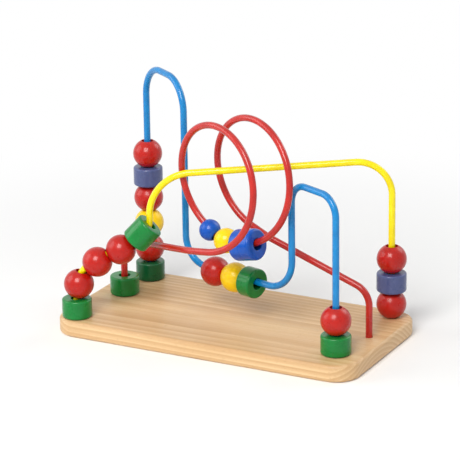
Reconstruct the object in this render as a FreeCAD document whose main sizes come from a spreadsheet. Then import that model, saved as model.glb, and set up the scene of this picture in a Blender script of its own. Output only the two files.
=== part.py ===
import FreeCAD, Part
import math
import os
import Sketcher
from FreeCAD import Placement, Rotation, Vector

# A bead maze: a wooden board carries three bent, coated steel wires, and turned wooden beads
# ride on them. The frame has its origin under the middle of the board, on its underside, with
# X along the board, Y to the back and Z up. Lengths are in millimetres and angles in degrees.

SIZES = {
    # board
    "base_length": 290,
    "base_width": 150,
    "base_thickness": 15,
    "base_corner_radius": 22,
    "base_edge_radius": 3,
    # wires, and the way that they are held under the board
    "wire_diameter": 6,
    "socket_depth": 5,
    "socket_play": 0.2,
    "spigot_diameter": 4.6,
    "spigot_recess": 0.8,
    "washer_diameter": 12,
    "washer_thickness": 1,
    "nut_across_flats": 8,
    "nut_height": 3.8,
    "nut_chamfer_angle": 30,
    "counterbore_diameter": 14,
    "counterbore_depth": 6,
    "thread_play": 0.2,
    # places of the wires' legs, as shares of the board's half length and half width
    "blue_left_x_share": -0.807,
    "blue_left_y_share": 0.76,
    "blue_inner_x_share": -0.391,
    "blue_inner_y_share": 0.213,
    "blue_low_x_share": 0.454,
    "blue_low_y_share": -0.267,
    "blue_right_x_share": 0.821,
    "blue_right_y_share": -0.6,
    "red_left_x_share": -0.814,
    "red_left_y_share": 0.147,
    "red_right_x_share": 0.883,
    "red_right_y_share": 0.04,
    "yellow_left_x_share": -0.869,
    "yellow_left_y_share": -0.8,
    "yellow_inner_x_share": -0.444,
    "yellow_inner_y_share": -0.467,
    "yellow_right_x_share": 0.862,
    "yellow_right_y_share": 0.76,
    # heights of the wires' centre lines above the board
    "tall_arch_height": 203,
    "low_run_height": 38.5,
    "low_arch_height": 137.5,
    "slope_foot_height": 42,
    "slope_top_height": 80,
    "yellow_run_start_height": 130.9,
    "yellow_run_end_height": 144,
    "red_rise_height": 51,
    "red_drop_height": 41,
    # radii of the bends, and the least straight that one bend leaves before the next
    "least_straight": 1,
    "tall_arch_radius": 28,
    "low_run_left_radius": 24,
    "low_run_right_radius": 28,
    "low_arch_radius": 18,
    "slope_foot_radius": 30,
    "slope_top_radius": 20,
    "yellow_shoulder_radius": 38,
    "yellow_far_radius": 30,
    "red_rise_radius": 16,
    "red_drop_radius": 18,
    "loop_lead_radius": 50,
    # the two loops of the red wire
    "loop_radius": 53.7,
    "loop_centre_height": 131.5,
    "loop_x_share": -0.021,
    "loop_y_share": -0.773,
    "loop_plane_azimuth": 72.4,
    "loop_drift_length": 17.6,
    "loop_drift_width": 33,
    "loop_first_angle": 8,
    "loop_last_angle": 698,
    "loop_lead": 18,
    # beads
    "bore_diameter": 10.5,
    "bore_edge": 0.6,
    "bead_gap": 0.3,
    "bead_spacing": 0.4,
    "settle_error": 0.02,
    "ball_diameter": 26.5,
    "medium_ball_diameter": 22,
    "small_ball_diameter": 19,
    "cylinder_diameter": 26.5,
    "cylinder_length": 17,
    "disc_length": 14.5,
    "barrel_diameter": 25,
    "barrel_length": 22,
    "cylinder_edge": 1.6,
    "spool_diameter": 27.5,
    "spool_length": 23,
    "spool_edge": 2.6,
    "low_run_offset": 24.1,
    "spool_angle": 13.5,
}

FEET = ("blue_left", "blue_right", "red_left", "red_right", "yellow_left", "yellow_right")
UP = Vector(0, 0, 1)
FULL_TURN = 360
QUARTER_TURN = 90
HEX_SIDES = 6
LOOP_SAMPLES = 240
SEARCH_STEPS = 40
BEAD_SAMPLES = 8
STRAIGHT_ANGLE = 1
TINY = 1e-6


class Sizes:
    """The sheet's values as attributes, with the places that follow from them."""

    def __init__(self, sheet):
        for name in SIZES:
            setattr(self, name, float(sheet.get(name)))

    def place(self, leg, height):
        """The point of a leg at a height above the board."""
        x = getattr(self, leg + "_x_share") * self.base_length / 2
        y = getattr(self, leg + "_y_share") * self.base_width / 2
        return Vector(x, y, self.base_thickness + height)

    def foot(self, leg):
        """The floor of the socket in the board, on which a leg stands."""
        return self.place(leg, -self.socket_depth)

    def running_play(self, tilt):
        """How far a wire that crosses a bore at a tilt may lie from the bore's axis."""
        return (self.bore_diameter - self.wire_diameter / math.cos(tilt)) / 2 - self.bead_gap

    def ball_length(self, diameter):
        """The length of a bored ball between the softened rims of its bore."""
        rim = math.asin(self.bore_diameter / diameter) + 2 * self.bore_edge / diameter
        return diameter * math.cos(rim)


def unit(vector):
    """A copy of the vector with length one."""
    return vector * (1 / vector.Length)


def make_sheet(doc):
    """The sheet of driving sizes: a name, a plain number and its alias on each row."""
    sheet = doc.addObject("Spreadsheet::Sheet", "Sizes")
    for row, (name, value) in enumerate(SIZES.items(), 1):
        sheet.set(f"A{row}", name)
        sheet.set(f"B{row}", str(value))
        sheet.setAlias(f"B{row}", name)
    doc.recompute()
    return sheet


# routes of the wires

def arc_edge(start, tangent, end):
    """The circular edge from start to end that leaves start along tangent."""
    chord = end - start
    side = chord - tangent * chord.dot(tangent)
    if side.Length < TINY:
        return Part.LineSegment(start, end).toShape()
    normal = unit(side)
    radius = chord.Length ** 2 / (2 * chord.dot(normal))
    centre = start + normal * radius
    half_turn = math.atan2(side.Length, chord.dot(tangent))
    middle = centre - normal * radius * math.cos(half_turn) + tangent * radius * math.sin(half_turn)
    return Part.Arc(start, middle, end).toShape()


def biarc_edges(start, start_tangent, end, end_tangent):
    """Two arcs, tangent to each other, from one point and direction to another."""
    span = end - start
    both = start_tangent + end_tangent
    across = span.dot(both)
    spread = 4 - both.dot(both)
    reach = span.dot(span) / (2 * across)
    if spread > TINY:
        reach = (math.sqrt(across ** 2 + spread * span.dot(span)) - across) / spread
    joint = (start + start_tangent * reach + end - end_tangent * reach) * 0.5
    joint_tangent = unit((end - end_tangent * reach) - (start + start_tangent * reach))
    return [arc_edge(start, start_tangent, joint), arc_edge(joint, joint_tangent, end)]


def rounded_edges(corners, radii, least_straight):
    """Straight edges along the corners, joined by a tangent arc at each inner corner.

    A bend is drawn in where the leg before it is too short for its radius.
    """
    edges = []
    last = corners[0]
    for before, corner, after, radius in zip(corners, corners[1:], corners[2:], radii):
        incoming = unit(corner - before)
        outgoing = unit(after - corner)
        room = (corner - last).Length - least_straight
        setback = min(radius * math.tan(incoming.getAngle(outgoing) / 2), room)
        arc_start = corner - incoming * setback
        arc_end = corner + outgoing * setback
        edges.append(Part.LineSegment(last, arc_start).toShape())
        edges.append(arc_edge(arc_start, incoming, arc_end))
        last = arc_end
    edges.append(Part.LineSegment(last, corners[-1]).toShape())
    return edges


class Route:
    """A wire's centre line as tangent edges, read by the distance along it."""

    def __init__(self, edges):
        self.edges = edges
        self.length = sum(edge.Length for edge in edges)

    def _locate(self, station):
        """The edge that holds a station, and the parameter there."""
        for edge in self.edges[:-1]:
            if station <= edge.Length:
                return edge, edge.getParameterByLength(max(station, 0))
            station -= edge.Length
        return self.edges[-1], self.edges[-1].getParameterByLength(min(station, self.edges[-1].Length))

    def point(self, station):
        """The point at a distance from the start."""
        edge, parameter = self._locate(station)
        return edge.valueAt(parameter)

    def tangent(self, station):
        """The unit direction of travel at a distance from the start."""
        edge, parameter = self._locate(station)
        return edge.tangentAt(parameter)

    def above(self, station, reach):
        """The nearest station further on whose point is reach away from the point here."""
        here = self.point(station)
        low = station
        high = station + 2 * reach
        for _ in range(SEARCH_STEPS):
            middle = (low + high) / 2
            if (self.point(middle) - here).Length < reach:
                low = middle
            else:
                high = middle
        return high

    def seat(self, size, station, length):
        """The placement of a bead of a length that hangs on the wire at a station."""
        ends = [self.point(station + share * length) for share in (-0.5, 0.5)]
        axis = unit(ends[1] - ends[0])
        lateral = []
        for step in range(BEAD_SAMPLES + 1):
            offset = self.point(station + length * (step / BEAD_SAMPLES - 0.5)) - ends[0]
            lateral.append(offset - axis * offset.dot(axis))
        widest = max(lateral, key=lambda offset: offset.Length)
        centre = (ends[0] + ends[1]) * 0.5 + widest * 0.5
        down = axis * axis.dot(UP) - UP
        tilt = max(self.tangent(station + share * length).getAngle(axis) for share in (-0.5, 0.5))
        slack = size.running_play(tilt) - widest.Length / 2
        if down.Length > math.sin(math.radians(STRAIGHT_ANGLE)) and slack > 0:
            centre += unit(down) * slack
        return Placement(centre, Rotation(UP, axis))


def blue_route(size):
    """Up the tall arch, down to the low run, along it, over the low arch and down."""
    corners = [
        size.foot("blue_left"),
        size.place("blue_left", size.tall_arch_height),
        size.place("blue_inner", size.tall_arch_height),
        size.place("blue_inner", size.low_run_height),
        size.place("blue_low", size.low_run_height),
        size.place("blue_low", size.low_arch_height),
        size.place("blue_right", size.low_arch_height),
        size.foot("blue_right"),
    ]
    low_run_radii = [size.low_run_left_radius, size.low_run_right_radius]
    radii = [size.tall_arch_radius] * 2 + low_run_radii + [size.low_arch_radius] * 2
    return Route(rounded_edges(corners, radii, size.least_straight))


def yellow_route(size):
    """Up a slope, up to the shoulder, and along the top run, which goes through both loops."""
    corners = [
        size.foot("yellow_left"),
        size.place("yellow_left", size.slope_foot_height),
        size.place("yellow_inner", size.slope_top_height),
        size.place("yellow_inner", size.yellow_run_start_height),
        size.place("yellow_right", size.yellow_run_end_height),
        size.foot("yellow_right"),
    ]
    radii = [size.slope_foot_radius, size.slope_top_radius, size.yellow_shoulder_radius, size.yellow_far_radius]
    return Route(rounded_edges(corners, radii, size.least_straight))


class Loops:
    """The helix of the two red loops, whose angle starts at the bottom of the first."""

    def __init__(self, size):
        azimuth = math.radians(size.loop_plane_azimuth)
        self.centre = size.place("loop", size.loop_centre_height)
        self.radius = size.loop_radius
        self.drift = Vector(size.loop_drift_length, size.loop_drift_width, 0) * (1 / (2 * math.pi))
        self.right = Vector(math.sin(azimuth), -math.cos(azimuth), 0)
        self.first = math.radians(size.loop_first_angle)
        self.last = math.radians(size.loop_last_angle)

    def point(self, angle):
        """The point of the centre line at an angle."""
        turned = self.right * math.sin(angle) - UP * math.cos(angle)
        return self.centre + self.drift * angle + turned * self.radius

    def tangent(self, angle):
        """The unit direction of travel at an angle."""
        turned = self.right * math.cos(angle) + UP * math.sin(angle)
        return unit(self.drift + turned * self.radius)

    def edges(self):
        """Arcs in pairs, one pair to a quarter turn or a little less."""
        turns = (self.last - self.first) / math.radians(QUARTER_TURN)
        count = math.ceil(turns)
        angles = [self.first + (self.last - self.first) * step / count for step in range(count + 1)]
        edges = []
        for start, end in zip(angles, angles[1:]):
            edges += biarc_edges(self.point(start), self.tangent(start), self.point(end), self.tangent(end))
        return edges

    def least_gap(self, wire_diameter):
        """The least clear distance between the two loops, measured on points."""
        step = (self.last - self.first) / LOOP_SAMPLES
        points = [self.point(self.first + step * index) for index in range(LOOP_SAMPLES + 1)]
        apart = math.ceil(math.pi / step)
        pairs = ((a, b) for index, a in enumerate(points) for b in points[index + apart:])
        return min((a - b).Length for a, b in pairs) - wire_diameter


def red_route(size, loops):
    """Up and along to the loops, round them, and down a slanting tail to the far foot."""
    loop_start = loops.point(loops.first)
    loop_end = loops.point(loops.last)
    lead = [
        size.foot("red_left"),
        size.place("red_left", size.red_rise_height),
        loop_start - loops.tangent(loops.first) * size.loop_lead,
        loop_start,
    ]
    tail = [
        loop_end,
        loop_end + loops.tangent(loops.last) * size.loop_lead,
        size.place("red_right", size.red_drop_height),
        size.foot("red_right"),
    ]
    lead_edges = rounded_edges(lead, [size.red_rise_radius, size.loop_lead_radius], size.least_straight)
    tail_edges = rounded_edges(tail, [size.loop_lead_radius, size.red_drop_radius], size.least_straight)
    return Route(lead_edges + loops.edges() + tail_edges)


def make_wire(doc, name, route, legs, size):
    """A coated wire: a round section swept along its route, with a bare spigot at each foot."""
    path = doc.addObject("Part::Feature", name + "_route")
    path.Shape = Part.Wire(route.edges)
    section = doc.addObject("Part::Circle", name + "_section")
    section.setExpression("Radius", "Sizes.wire_diameter / 2")
    section.Placement = Placement(route.point(0), Rotation(UP, route.tangent(0)))
    sweep = doc.addObject("Part::Sweep", name + "_sweep")
    sweep.Sections = [section]
    sweep.Spine = (path, [f"Edge{number}" for number in range(1, len(route.edges) + 1)])
    sweep.Solid = True
    sweep.Frenet = False
    spigots = []
    for leg in legs:
        spigot = doc.addObject("Part::Cylinder", f"{leg}_spigot")
        spigot.setExpression("Radius", "Sizes.spigot_diameter / 2")
        spigot.setExpression("Height", "Sizes.base_thickness - Sizes.socket_depth - Sizes.spigot_recess")
        foot = size.foot(leg)
        spigot.Placement = Placement(Vector(foot.x, foot.y, size.spigot_recess), Rotation())
        spigots.append(spigot)
    wire = doc.addObject("Part::MultiFuse", name)
    wire.Shapes = [sweep] + spigots
    wire.Label = name
    doc.recompute()
    expected = math.pi / 4 * size.wire_diameter ** 2 * route.length
    print(f"{name}: sweep volume over section times length {sweep.Shape.Volume / expected:.4f}")
    return wire


# turned beads

def new_body(doc, name):
    """An empty body, labelled with the name of its file."""
    body = doc.addObject("PartDesign::Body", name)
    body.Label = name
    return body


def new_sketch(body, name, role):
    """A sketch on one of the body's own origin planes."""
    sketch = body.newObject("Sketcher::SketchObject", name)
    plane = next(item for item in body.Origin.OriginFeatures if item.Role == role)
    sketch.AttachmentSupport = [(plane, "")]
    sketch.MapMode = "FlatFace"
    return sketch


def bind(sketch, constraint, expression):
    """Adds a dimension to a sketch and ties it to the sheet."""
    index = sketch.addConstraint(constraint)
    sketch.setExpression(f"Constraints[{index}]", expression)


def revolve(body, sketch):
    """A full turn of the sketch about its vertical axis."""
    turned = body.newObject("PartDesign::Revolution", body.Name + "_turned")
    turned.Profile = sketch
    turned.ReferenceAxis = (sketch, ["V_Axis"])
    turned.Angle = FULL_TURN
    body.Document.recompute()
    return turned


def circle_edges(shape, least_radius, most_radius):
    """Names of the circular edges between two radii."""
    names = []
    for number, edge in enumerate(shape.Edges, 1):
        if isinstance(edge.Curve, Part.Circle) and least_radius < edge.Curve.Radius < most_radius:
            names.append(f"Edge{number}")
    return names


def soften(body, feature, kind, edges, expression):
    """A fillet or chamfer on named edges of the last feature."""
    softened = body.newObject("PartDesign::" + kind, f"{body.Name}_{kind.lower()}_{len(body.Group)}")
    softened.Base = (feature, edges)
    softened.setExpression("Radius" if kind == "Fillet" else "Size", expression)
    body.Document.recompute()
    return softened


def make_ball(doc, name, diameter, size):
    """A bored ball, turned from a chord-cut circle."""
    body = new_body(doc, name)
    sketch = new_sketch(body, name + "_profile", "XZ_Plane")
    radius = getattr(size, diameter) / 2
    bore = size.bore_diameter / 2
    rim = math.acos(bore / radius)
    top = Vector(bore, radius * math.sin(rim), 0)
    bottom = Vector(bore, -radius * math.sin(rim), 0)
    outline = Part.ArcOfCircle(Part.Circle(Vector(), Vector(0, 0, 1), radius), -rim, rim)
    sketch.addGeometry([outline, Part.LineSegment(top, bottom)], False)
    sketch.addConstraint(Sketcher.Constraint("Coincident", 0, 3, -1, 1))
    sketch.addConstraint(Sketcher.Constraint("Coincident", 0, 2, 1, 1))
    sketch.addConstraint(Sketcher.Constraint("Coincident", 1, 2, 0, 1))
    sketch.addConstraint(Sketcher.Constraint("Vertical", 1))
    bind(sketch, Sketcher.Constraint("Radius", 0, radius), f"Sizes.{diameter} / 2")
    bind(sketch, Sketcher.Constraint("DistanceX", -1, 1, 1, 1, bore), "Sizes.bore_diameter / 2")
    turned = revolve(body, sketch)
    rims = circle_edges(turned.Shape, bore - TINY, bore + TINY)
    soften(body, turned, "Chamfer", rims, "Sizes.bore_edge")
    return body, size.ball_length(2 * radius)


def make_cylinder(doc, name, diameter, length, rim, size):
    """A bored cylinder, whose diameter, length and rounded rims are named sizes."""
    body = new_body(doc, name)
    sketch = new_sketch(body, name + "_profile", "XZ_Plane")
    radius = getattr(size, diameter) / 2
    bore = size.bore_diameter / 2
    half = getattr(size, length) / 2
    corners = [Vector(bore, -half, 0), Vector(radius, -half, 0), Vector(radius, half, 0), Vector(bore, half, 0)]
    for start, end in zip(corners, corners[1:] + corners[:1]):
        sketch.addGeometry(Part.LineSegment(start, end), False)
    for line in range(4):
        sketch.addConstraint(Sketcher.Constraint("Coincident", line, 2, (line + 1) % 4, 1))
    for line, direction in ((0, "Horizontal"), (2, "Horizontal"), (3, "Vertical")):
        sketch.addConstraint(Sketcher.Constraint(direction, line))
    sketch.addConstraint(Sketcher.Constraint("Symmetric", 1, 1, 1, 2, -1))
    bind(sketch, Sketcher.Constraint("DistanceX", -1, 1, 0, 1, bore), "Sizes.bore_diameter / 2")
    bind(sketch, Sketcher.Constraint("DistanceX", -1, 1, 0, 2, radius), f"Sizes.{diameter} / 2")
    bind(sketch, Sketcher.Constraint("DistanceY", 1, 1, 1, 2, 2 * half), f"Sizes.{length}")
    turned = revolve(body, sketch)
    outer = circle_edges(turned.Shape, radius - TINY, radius + TINY)
    rounded = soften(body, turned, "Fillet", outer, f"Sizes.{rim}")
    inner = circle_edges(rounded.Shape, bore - TINY, bore + TINY)
    soften(body, rounded, "Chamfer", inner, "Sizes.bore_edge")
    return body, 2 * half


BALLS = ("ball_diameter", "medium_ball_diameter", "small_ball_diameter")
CYLINDERS = {
    "cylinder_length": ("cylinder_diameter", "cylinder_edge"),
    "disc_length": ("cylinder_diameter", "cylinder_edge"),
    "barrel_length": ("barrel_diameter", "cylinder_edge"),
    "spool_length": ("spool_diameter", "spool_edge"),
}


def make_bead(doc, name, kind, size):
    """A bead of one kind, and its length along the wire."""
    if kind in BALLS:
        return make_ball(doc, name, kind, size)
    diameter, rim = CYLINDERS[kind]
    return make_cylinder(doc, name, diameter, kind, rim, size)


def thread_beads(doc, route, start, beads, size):
    """Threads beads on a route one after another from a station, each just clear of the last."""
    station = start
    before = None
    for name, kind in beads:
        body, length = make_bead(doc, name, kind, size)
        shape = body.Shape.copy()
        if before is None:
            station += length / 2
            shape.Placement = route.seat(size, station, length)
        else:
            station = route.above(station, (last_length + length) / 2 + size.bead_spacing)
            for _ in range(SEARCH_STEPS):
                shape.Placement = route.seat(size, station, length)
                short = size.bead_spacing - before.distToShape(shape)[0]
                if short < size.settle_error:
                    break
                station += short
        body.Placement = shape.Placement
        before = shape
        last_length = length


def thread_foot(doc, route, beads, size):
    """A stack of beads that stands on the board at the start of a route."""
    thread_beads(doc, route, size.socket_depth + size.bead_gap, beads, size)


def reversed_route(route):
    """The same route read from its far foot."""
    edges = []
    for edge in reversed(route.edges):
        ends = [edge.valueAt(edge.LastParameter), edge.valueAt(edge.FirstParameter)]
        if isinstance(edge.Curve, Part.Line):
            edges.append(Part.LineSegment(*ends).toShape())
        else:
            middle = edge.valueAt((edge.FirstParameter + edge.LastParameter) / 2)
            edges.append(Part.Arc(ends[0], middle, ends[1]).toShape())
    return Route(edges)


# board and fixings

def leg_circles(sketch, diameter, size):
    """One circle at each foot, tied to the sheet."""
    for index, leg in enumerate(FEET):
        foot = size.foot(leg)
        centre = Vector(foot.x, foot.y, 0)
        sketch.addGeometry(Part.Circle(centre, Vector(0, 0, 1), size.wire_diameter / 2), False)
        x_rule = f"Sizes.base_length / 2 * Sizes.{leg}_x_share"
        y_rule = f"Sizes.base_width / 2 * Sizes.{leg}_y_share"
        bind(sketch, Sketcher.Constraint("DistanceX", -1, 1, index, 3, foot.x), x_rule)
        bind(sketch, Sketcher.Constraint("DistanceY", -1, 1, index, 3, foot.y), y_rule)
        bind(sketch, Sketcher.Constraint("Diameter", index, size.wire_diameter), diameter)


def make_base(doc, size):
    """The board: rounded corners and edges, sockets on top and counterbored holes below."""
    body = new_body(doc, "base_board")
    outline = new_sketch(body, "base_outline", "XY_Plane")
    x = size.base_length / 2
    y = size.base_width / 2
    corners = [Vector(-x, -y, 0), Vector(x, -y, 0), Vector(x, y, 0), Vector(-x, y, 0)]
    for start, end in zip(corners, corners[1:] + corners[:1]):
        outline.addGeometry(Part.LineSegment(start, end), False)
    for line in range(4):
        outline.addConstraint(Sketcher.Constraint("Coincident", line, 2, (line + 1) % 4, 1))
    for line, direction in enumerate(("Horizontal", "Vertical", "Horizontal", "Vertical")):
        outline.addConstraint(Sketcher.Constraint(direction, line))
    outline.addConstraint(Sketcher.Constraint("Symmetric", 0, 1, 2, 1, -1, 1))
    bind(outline, Sketcher.Constraint("DistanceX", 0, 1, 0, 2, 2 * x), "Sizes.base_length")
    bind(outline, Sketcher.Constraint("DistanceY", 1, 1, 1, 2, 2 * y), "Sizes.base_width")
    slab = body.newObject("PartDesign::Pad", "base_slab")
    slab.Profile = outline
    slab.setExpression("Length", "Sizes.base_thickness")
    doc.recompute()
    upright = [f"Edge{n}" for n, edge in enumerate(slab.Shape.Edges, 1) if abs(edge.tangentAt(0).z) > 1 - TINY]
    cornered = soften(body, slab, "Fillet", upright, "Sizes.base_corner_radius")
    level = [f"Edge{n}" for n, edge in enumerate(cornered.Shape.Edges, 1) if edge.BoundBox.ZLength < TINY]
    soften(body, cornered, "Fillet", level, "Sizes.base_edge_radius")
    full = body.Shape.Volume
    under = new_sketch(body, "spigot_centres", "XY_Plane")
    leg_circles(under, "Sizes.wire_diameter", size)
    doc.recompute()
    hole = body.newObject("PartDesign::Hole", "spigot_holes")
    hole.Profile = under
    hole.Reversed = True
    hole.DepthType = "ThroughAll"
    hole.setExpression("Diameter", "Sizes.spigot_diameter + Sizes.thread_play")
    hole.HoleCutType = "Counterbore"
    hole.HoleCutCustomValues = True
    hole.setExpression("HoleCutDiameter", "Sizes.counterbore_diameter")
    hole.setExpression("HoleCutDepth", "Sizes.counterbore_depth")
    doc.recompute()
    print(f"base_board: holes removed {full - body.Shape.Volume:.0f} mm3")
    upper = new_sketch(body, "socket_centres", "XY_Plane")
    upper.setExpression("AttachmentOffset.Base.z", "Sizes.base_thickness")
    leg_circles(upper, "Sizes.wire_diameter + Sizes.socket_play", size)
    drilled = body.Shape.Volume
    socket = body.newObject("PartDesign::Pocket", "wire_sockets")
    socket.Profile = upper
    socket.setExpression("Length", "Sizes.socket_depth")
    doc.recompute()
    print(f"base_board: sockets removed {drilled - body.Shape.Volume:.0f} mm3")
    return body


def copies_under_feet(doc, name, single, height, size):
    """One solid of a fixing under each foot, as one group."""
    shapes = []
    for leg in FEET:
        foot = size.foot(leg)
        copy = single.Shape.copy()
        copy.translate(Vector(foot.x, foot.y, height))
        shapes.append(copy)
    group = doc.addObject("Part::Feature", name)
    group.Shape = Part.makeCompound(shapes)
    group.Label = name
    group.Placement = Placement()
    return group


def make_washers(doc, size):
    """Flat washers against the roofs of the counterbores."""
    plate = doc.addObject("Part::Cylinder", "washer_plate")
    plate.setExpression("Radius", "Sizes.washer_diameter / 2")
    plate.setExpression("Height", "Sizes.washer_thickness")
    eye = doc.addObject("Part::Cylinder", "washer_eye")
    eye.setExpression("Radius", "(Sizes.spigot_diameter + Sizes.thread_play) / 2")
    eye.setExpression("Height", "Sizes.washer_thickness")
    washer = doc.addObject("Part::Cut", "washer")
    washer.Base = plate
    washer.Tool = eye
    doc.recompute()
    height = size.counterbore_depth - size.washer_thickness
    return copies_under_feet(doc, "wire_washers", washer, height, size)


def make_nuts(doc, size):
    """Hexagon nuts under the washers, with their corners turned off below."""
    hexagon = doc.addObject("Part::Prism", "nut_hexagon")
    hexagon.Polygon = HEX_SIDES
    hexagon.setExpression("Circumradius", "Sizes.nut_across_flats / 2 / cos(30)")
    hexagon.setExpression("Height", "Sizes.nut_height")
    crown = doc.addObject("Part::Cone", "nut_crown")
    crown.setExpression("Radius1", "Sizes.nut_across_flats / 2")
    crown.setExpression("Radius2", "Sizes.nut_across_flats / 2 + Sizes.nut_height / tan(Sizes.nut_chamfer_angle)")
    crown.setExpression("Height", "Sizes.nut_height")
    crowned = doc.addObject("Part::MultiCommon", "nut_crowned")
    crowned.Shapes = [hexagon, crown]
    thread = doc.addObject("Part::Cylinder", "nut_thread")
    thread.setExpression("Radius", "(Sizes.spigot_diameter + Sizes.thread_play) / 2")
    thread.setExpression("Height", "Sizes.nut_height")
    nut = doc.addObject("Part::Cut", "nut")
    nut.Base = crowned
    nut.Tool = thread
    doc.recompute()
    height = size.counterbore_depth - size.washer_thickness - size.nut_height
    return copies_under_feet(doc, "wire_nuts", nut, height, size)


# the whole object

BLUE_STACK = (
    ("blue_stack_green_cylinder", "cylinder_length"),
    ("blue_stack_lower_red_ball", "ball_diameter"),
    ("blue_stack_yellow_ball", "ball_diameter"),
    ("blue_stack_middle_red_ball", "ball_diameter"),
    ("blue_stack_lilac_cylinder", "cylinder_length"),
    ("blue_stack_top_red_ball", "ball_diameter"),
)
LOW_RUN = (
    ("low_run_red_ball", "ball_diameter"),
    ("low_run_yellow_ball", "ball_diameter"),
    ("low_run_green_disc", "disc_length"),
)
FRONT_FOOT = (
    ("front_foot_green_cylinder", "cylinder_length"),
    ("front_foot_red_ball", "ball_diameter"),
)
RED_FOOT = (("red_foot_green_cylinder", "cylinder_length"),)
SLOPE = (
    ("slope_foot_green_cylinder", "cylinder_length"),
    ("slope_lower_red_ball", "ball_diameter"),
    ("slope_middle_red_ball", "ball_diameter"),
    ("slope_upper_red_ball", "ball_diameter"),
    ("slope_green_barrel", "barrel_length"),
)
BACK_FOOT = (
    ("back_foot_red_ball", "ball_diameter"),
    ("back_foot_lilac_cylinder", "cylinder_length"),
    ("back_foot_upper_red_ball", "ball_diameter"),
)
LOOP_BEADS = (
    ("loop_blue_spool", "spool_length"),
    ("loop_yellow_ball", "medium_ball_diameter"),
    ("loop_blue_ball", "small_ball_diameter"),
)


def thread_all(doc, blue, red, yellow, loops, size):
    """Every bead on its wire, where it rests."""
    thread_foot(doc, blue, BLUE_STACK, size)
    thread_foot(doc, reversed_route(blue), FRONT_FOOT, size)
    thread_foot(doc, red, RED_FOOT, size)
    thread_foot(doc, yellow, SLOPE, size)
    thread_foot(doc, reversed_route(yellow), BACK_FOOT, size)
    run_start = sum(edge.Length for edge in blue.edges[:6]) - size.low_run_left_radius + size.low_run_offset
    thread_beads(doc, blue, run_start, LOW_RUN, size)
    back = reversed_route(red)
    tail = sum(edge.Length for edge in red.edges[-5:])
    per_radian = sum(edge.Length for edge in loops.edges()) / (loops.last - loops.first)
    angle = 2 * math.pi + math.radians(size.spool_angle)
    station = tail + (loops.last - angle) * per_radian
    thread_beads(doc, back, station - size.spool_length / 2, LOOP_BEADS, size)


def check(doc, names):
    """Stops at any failed object or unsound sub-part."""
    for item in doc.Objects:
        bad = [word for word in item.State if word in ("Invalid", "Error")]
        if bad:
            raise RuntimeError(f"{item.Name} is {bad}")
    for name in names:
        shape = doc.getObjectsByLabel(name)[0].Shape
        if shape.isNull() or not shape.isValid() or shape.Volume <= 0:
            raise RuntimeError(f"{name} has no sound shape")


def main():
    doc = FreeCAD.newDocument("bead_maze")
    size = Sizes(make_sheet(doc))
    loops = Loops(size)
    blue = blue_route(size)
    red = red_route(size, loops)
    yellow = yellow_route(size)
    make_base(doc, size)
    make_wire(doc, "blue_wire", blue, ("blue_left", "blue_right"), size)
    make_wire(doc, "red_wire", red, ("red_left", "red_right"), size)
    make_wire(doc, "yellow_wire", yellow, ("yellow_left", "yellow_right"), size)
    make_washers(doc, size)
    make_nuts(doc, size)
    thread_all(doc, blue, red, yellow, loops, size)
    doc.recompute()
    print(f"least gap between the loops {loops.least_gap(size.wire_diameter):.1f} mm")
    beads = BLUE_STACK + LOW_RUN + FRONT_FOOT + RED_FOOT + SLOPE + BACK_FOOT + LOOP_BEADS
    names = ["base_board", "blue_wire", "red_wire", "yellow_wire", "wire_washers", "wire_nuts"]
    names += [name for name, kind in beads]
    check(doc, names)
    os.makedirs("parts", exist_ok=True)
    for name in names:
        doc.getObjectsByLabel(name)[0].Shape.exportStep(f"parts/{name}.step")
    print(f"{len(names)} sub-parts written")


main()
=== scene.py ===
"""Dresses a bead maze: a wooden board, three coated wires, one with a double loop, and lacquered beads on them.

Lengths are in metres and angles in radians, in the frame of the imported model: the origin is under the middle of the
board, with X along it, Y to the back and Z up. A colour is a screen colour of 0 to 255 unless it is called linear.
"""

import logging
import math
from dataclasses import dataclass, field
from enum import Enum
from functools import cache

import bmesh
import bpy
import numpy as np
from mathutils import Matrix, Vector
from mathutils.geometry import tessellate_polygon


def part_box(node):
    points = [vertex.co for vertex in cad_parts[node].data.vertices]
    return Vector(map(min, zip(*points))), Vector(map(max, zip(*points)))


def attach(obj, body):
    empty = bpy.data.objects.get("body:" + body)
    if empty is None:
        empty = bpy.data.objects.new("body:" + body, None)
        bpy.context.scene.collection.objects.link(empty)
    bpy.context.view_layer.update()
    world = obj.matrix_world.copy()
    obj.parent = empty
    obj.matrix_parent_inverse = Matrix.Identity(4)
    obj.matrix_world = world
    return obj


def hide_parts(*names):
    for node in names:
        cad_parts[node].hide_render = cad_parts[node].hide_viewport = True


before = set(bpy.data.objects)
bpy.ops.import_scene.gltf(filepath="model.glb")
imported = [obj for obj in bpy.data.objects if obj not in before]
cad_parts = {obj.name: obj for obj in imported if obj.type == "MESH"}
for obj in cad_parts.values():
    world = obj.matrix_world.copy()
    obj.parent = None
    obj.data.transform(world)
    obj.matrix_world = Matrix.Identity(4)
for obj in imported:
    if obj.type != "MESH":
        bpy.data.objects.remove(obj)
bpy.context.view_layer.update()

ROOT_BODY = "board_with_wires"
MM = 0.001
FULL_TURN = 2 * math.pi
QUARTER_TURN = math.pi / 2
TOUCHING = 0.001 * MM
LOG = logging.getLogger("bead_maze")

Array = np.ndarray
Socket = bpy.types.NodeSocket
Piece = bpy.types.Object
Colour = tuple[int, int, int]
Linear = tuple[float, ...]


# shapes worked out as arrays

def unit(vectors: Array) -> Array:
    """Vectors divided by their lengths."""
    return vectors / np.linalg.norm(vectors, axis=-1, keepdims=True)


def distances(points: Array) -> Array:
    """How far along a polyline each of its points lies."""
    return np.concatenate([[0.0], np.cumsum(np.linalg.norm(np.diff(points, axis=0), axis=1))])


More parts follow.
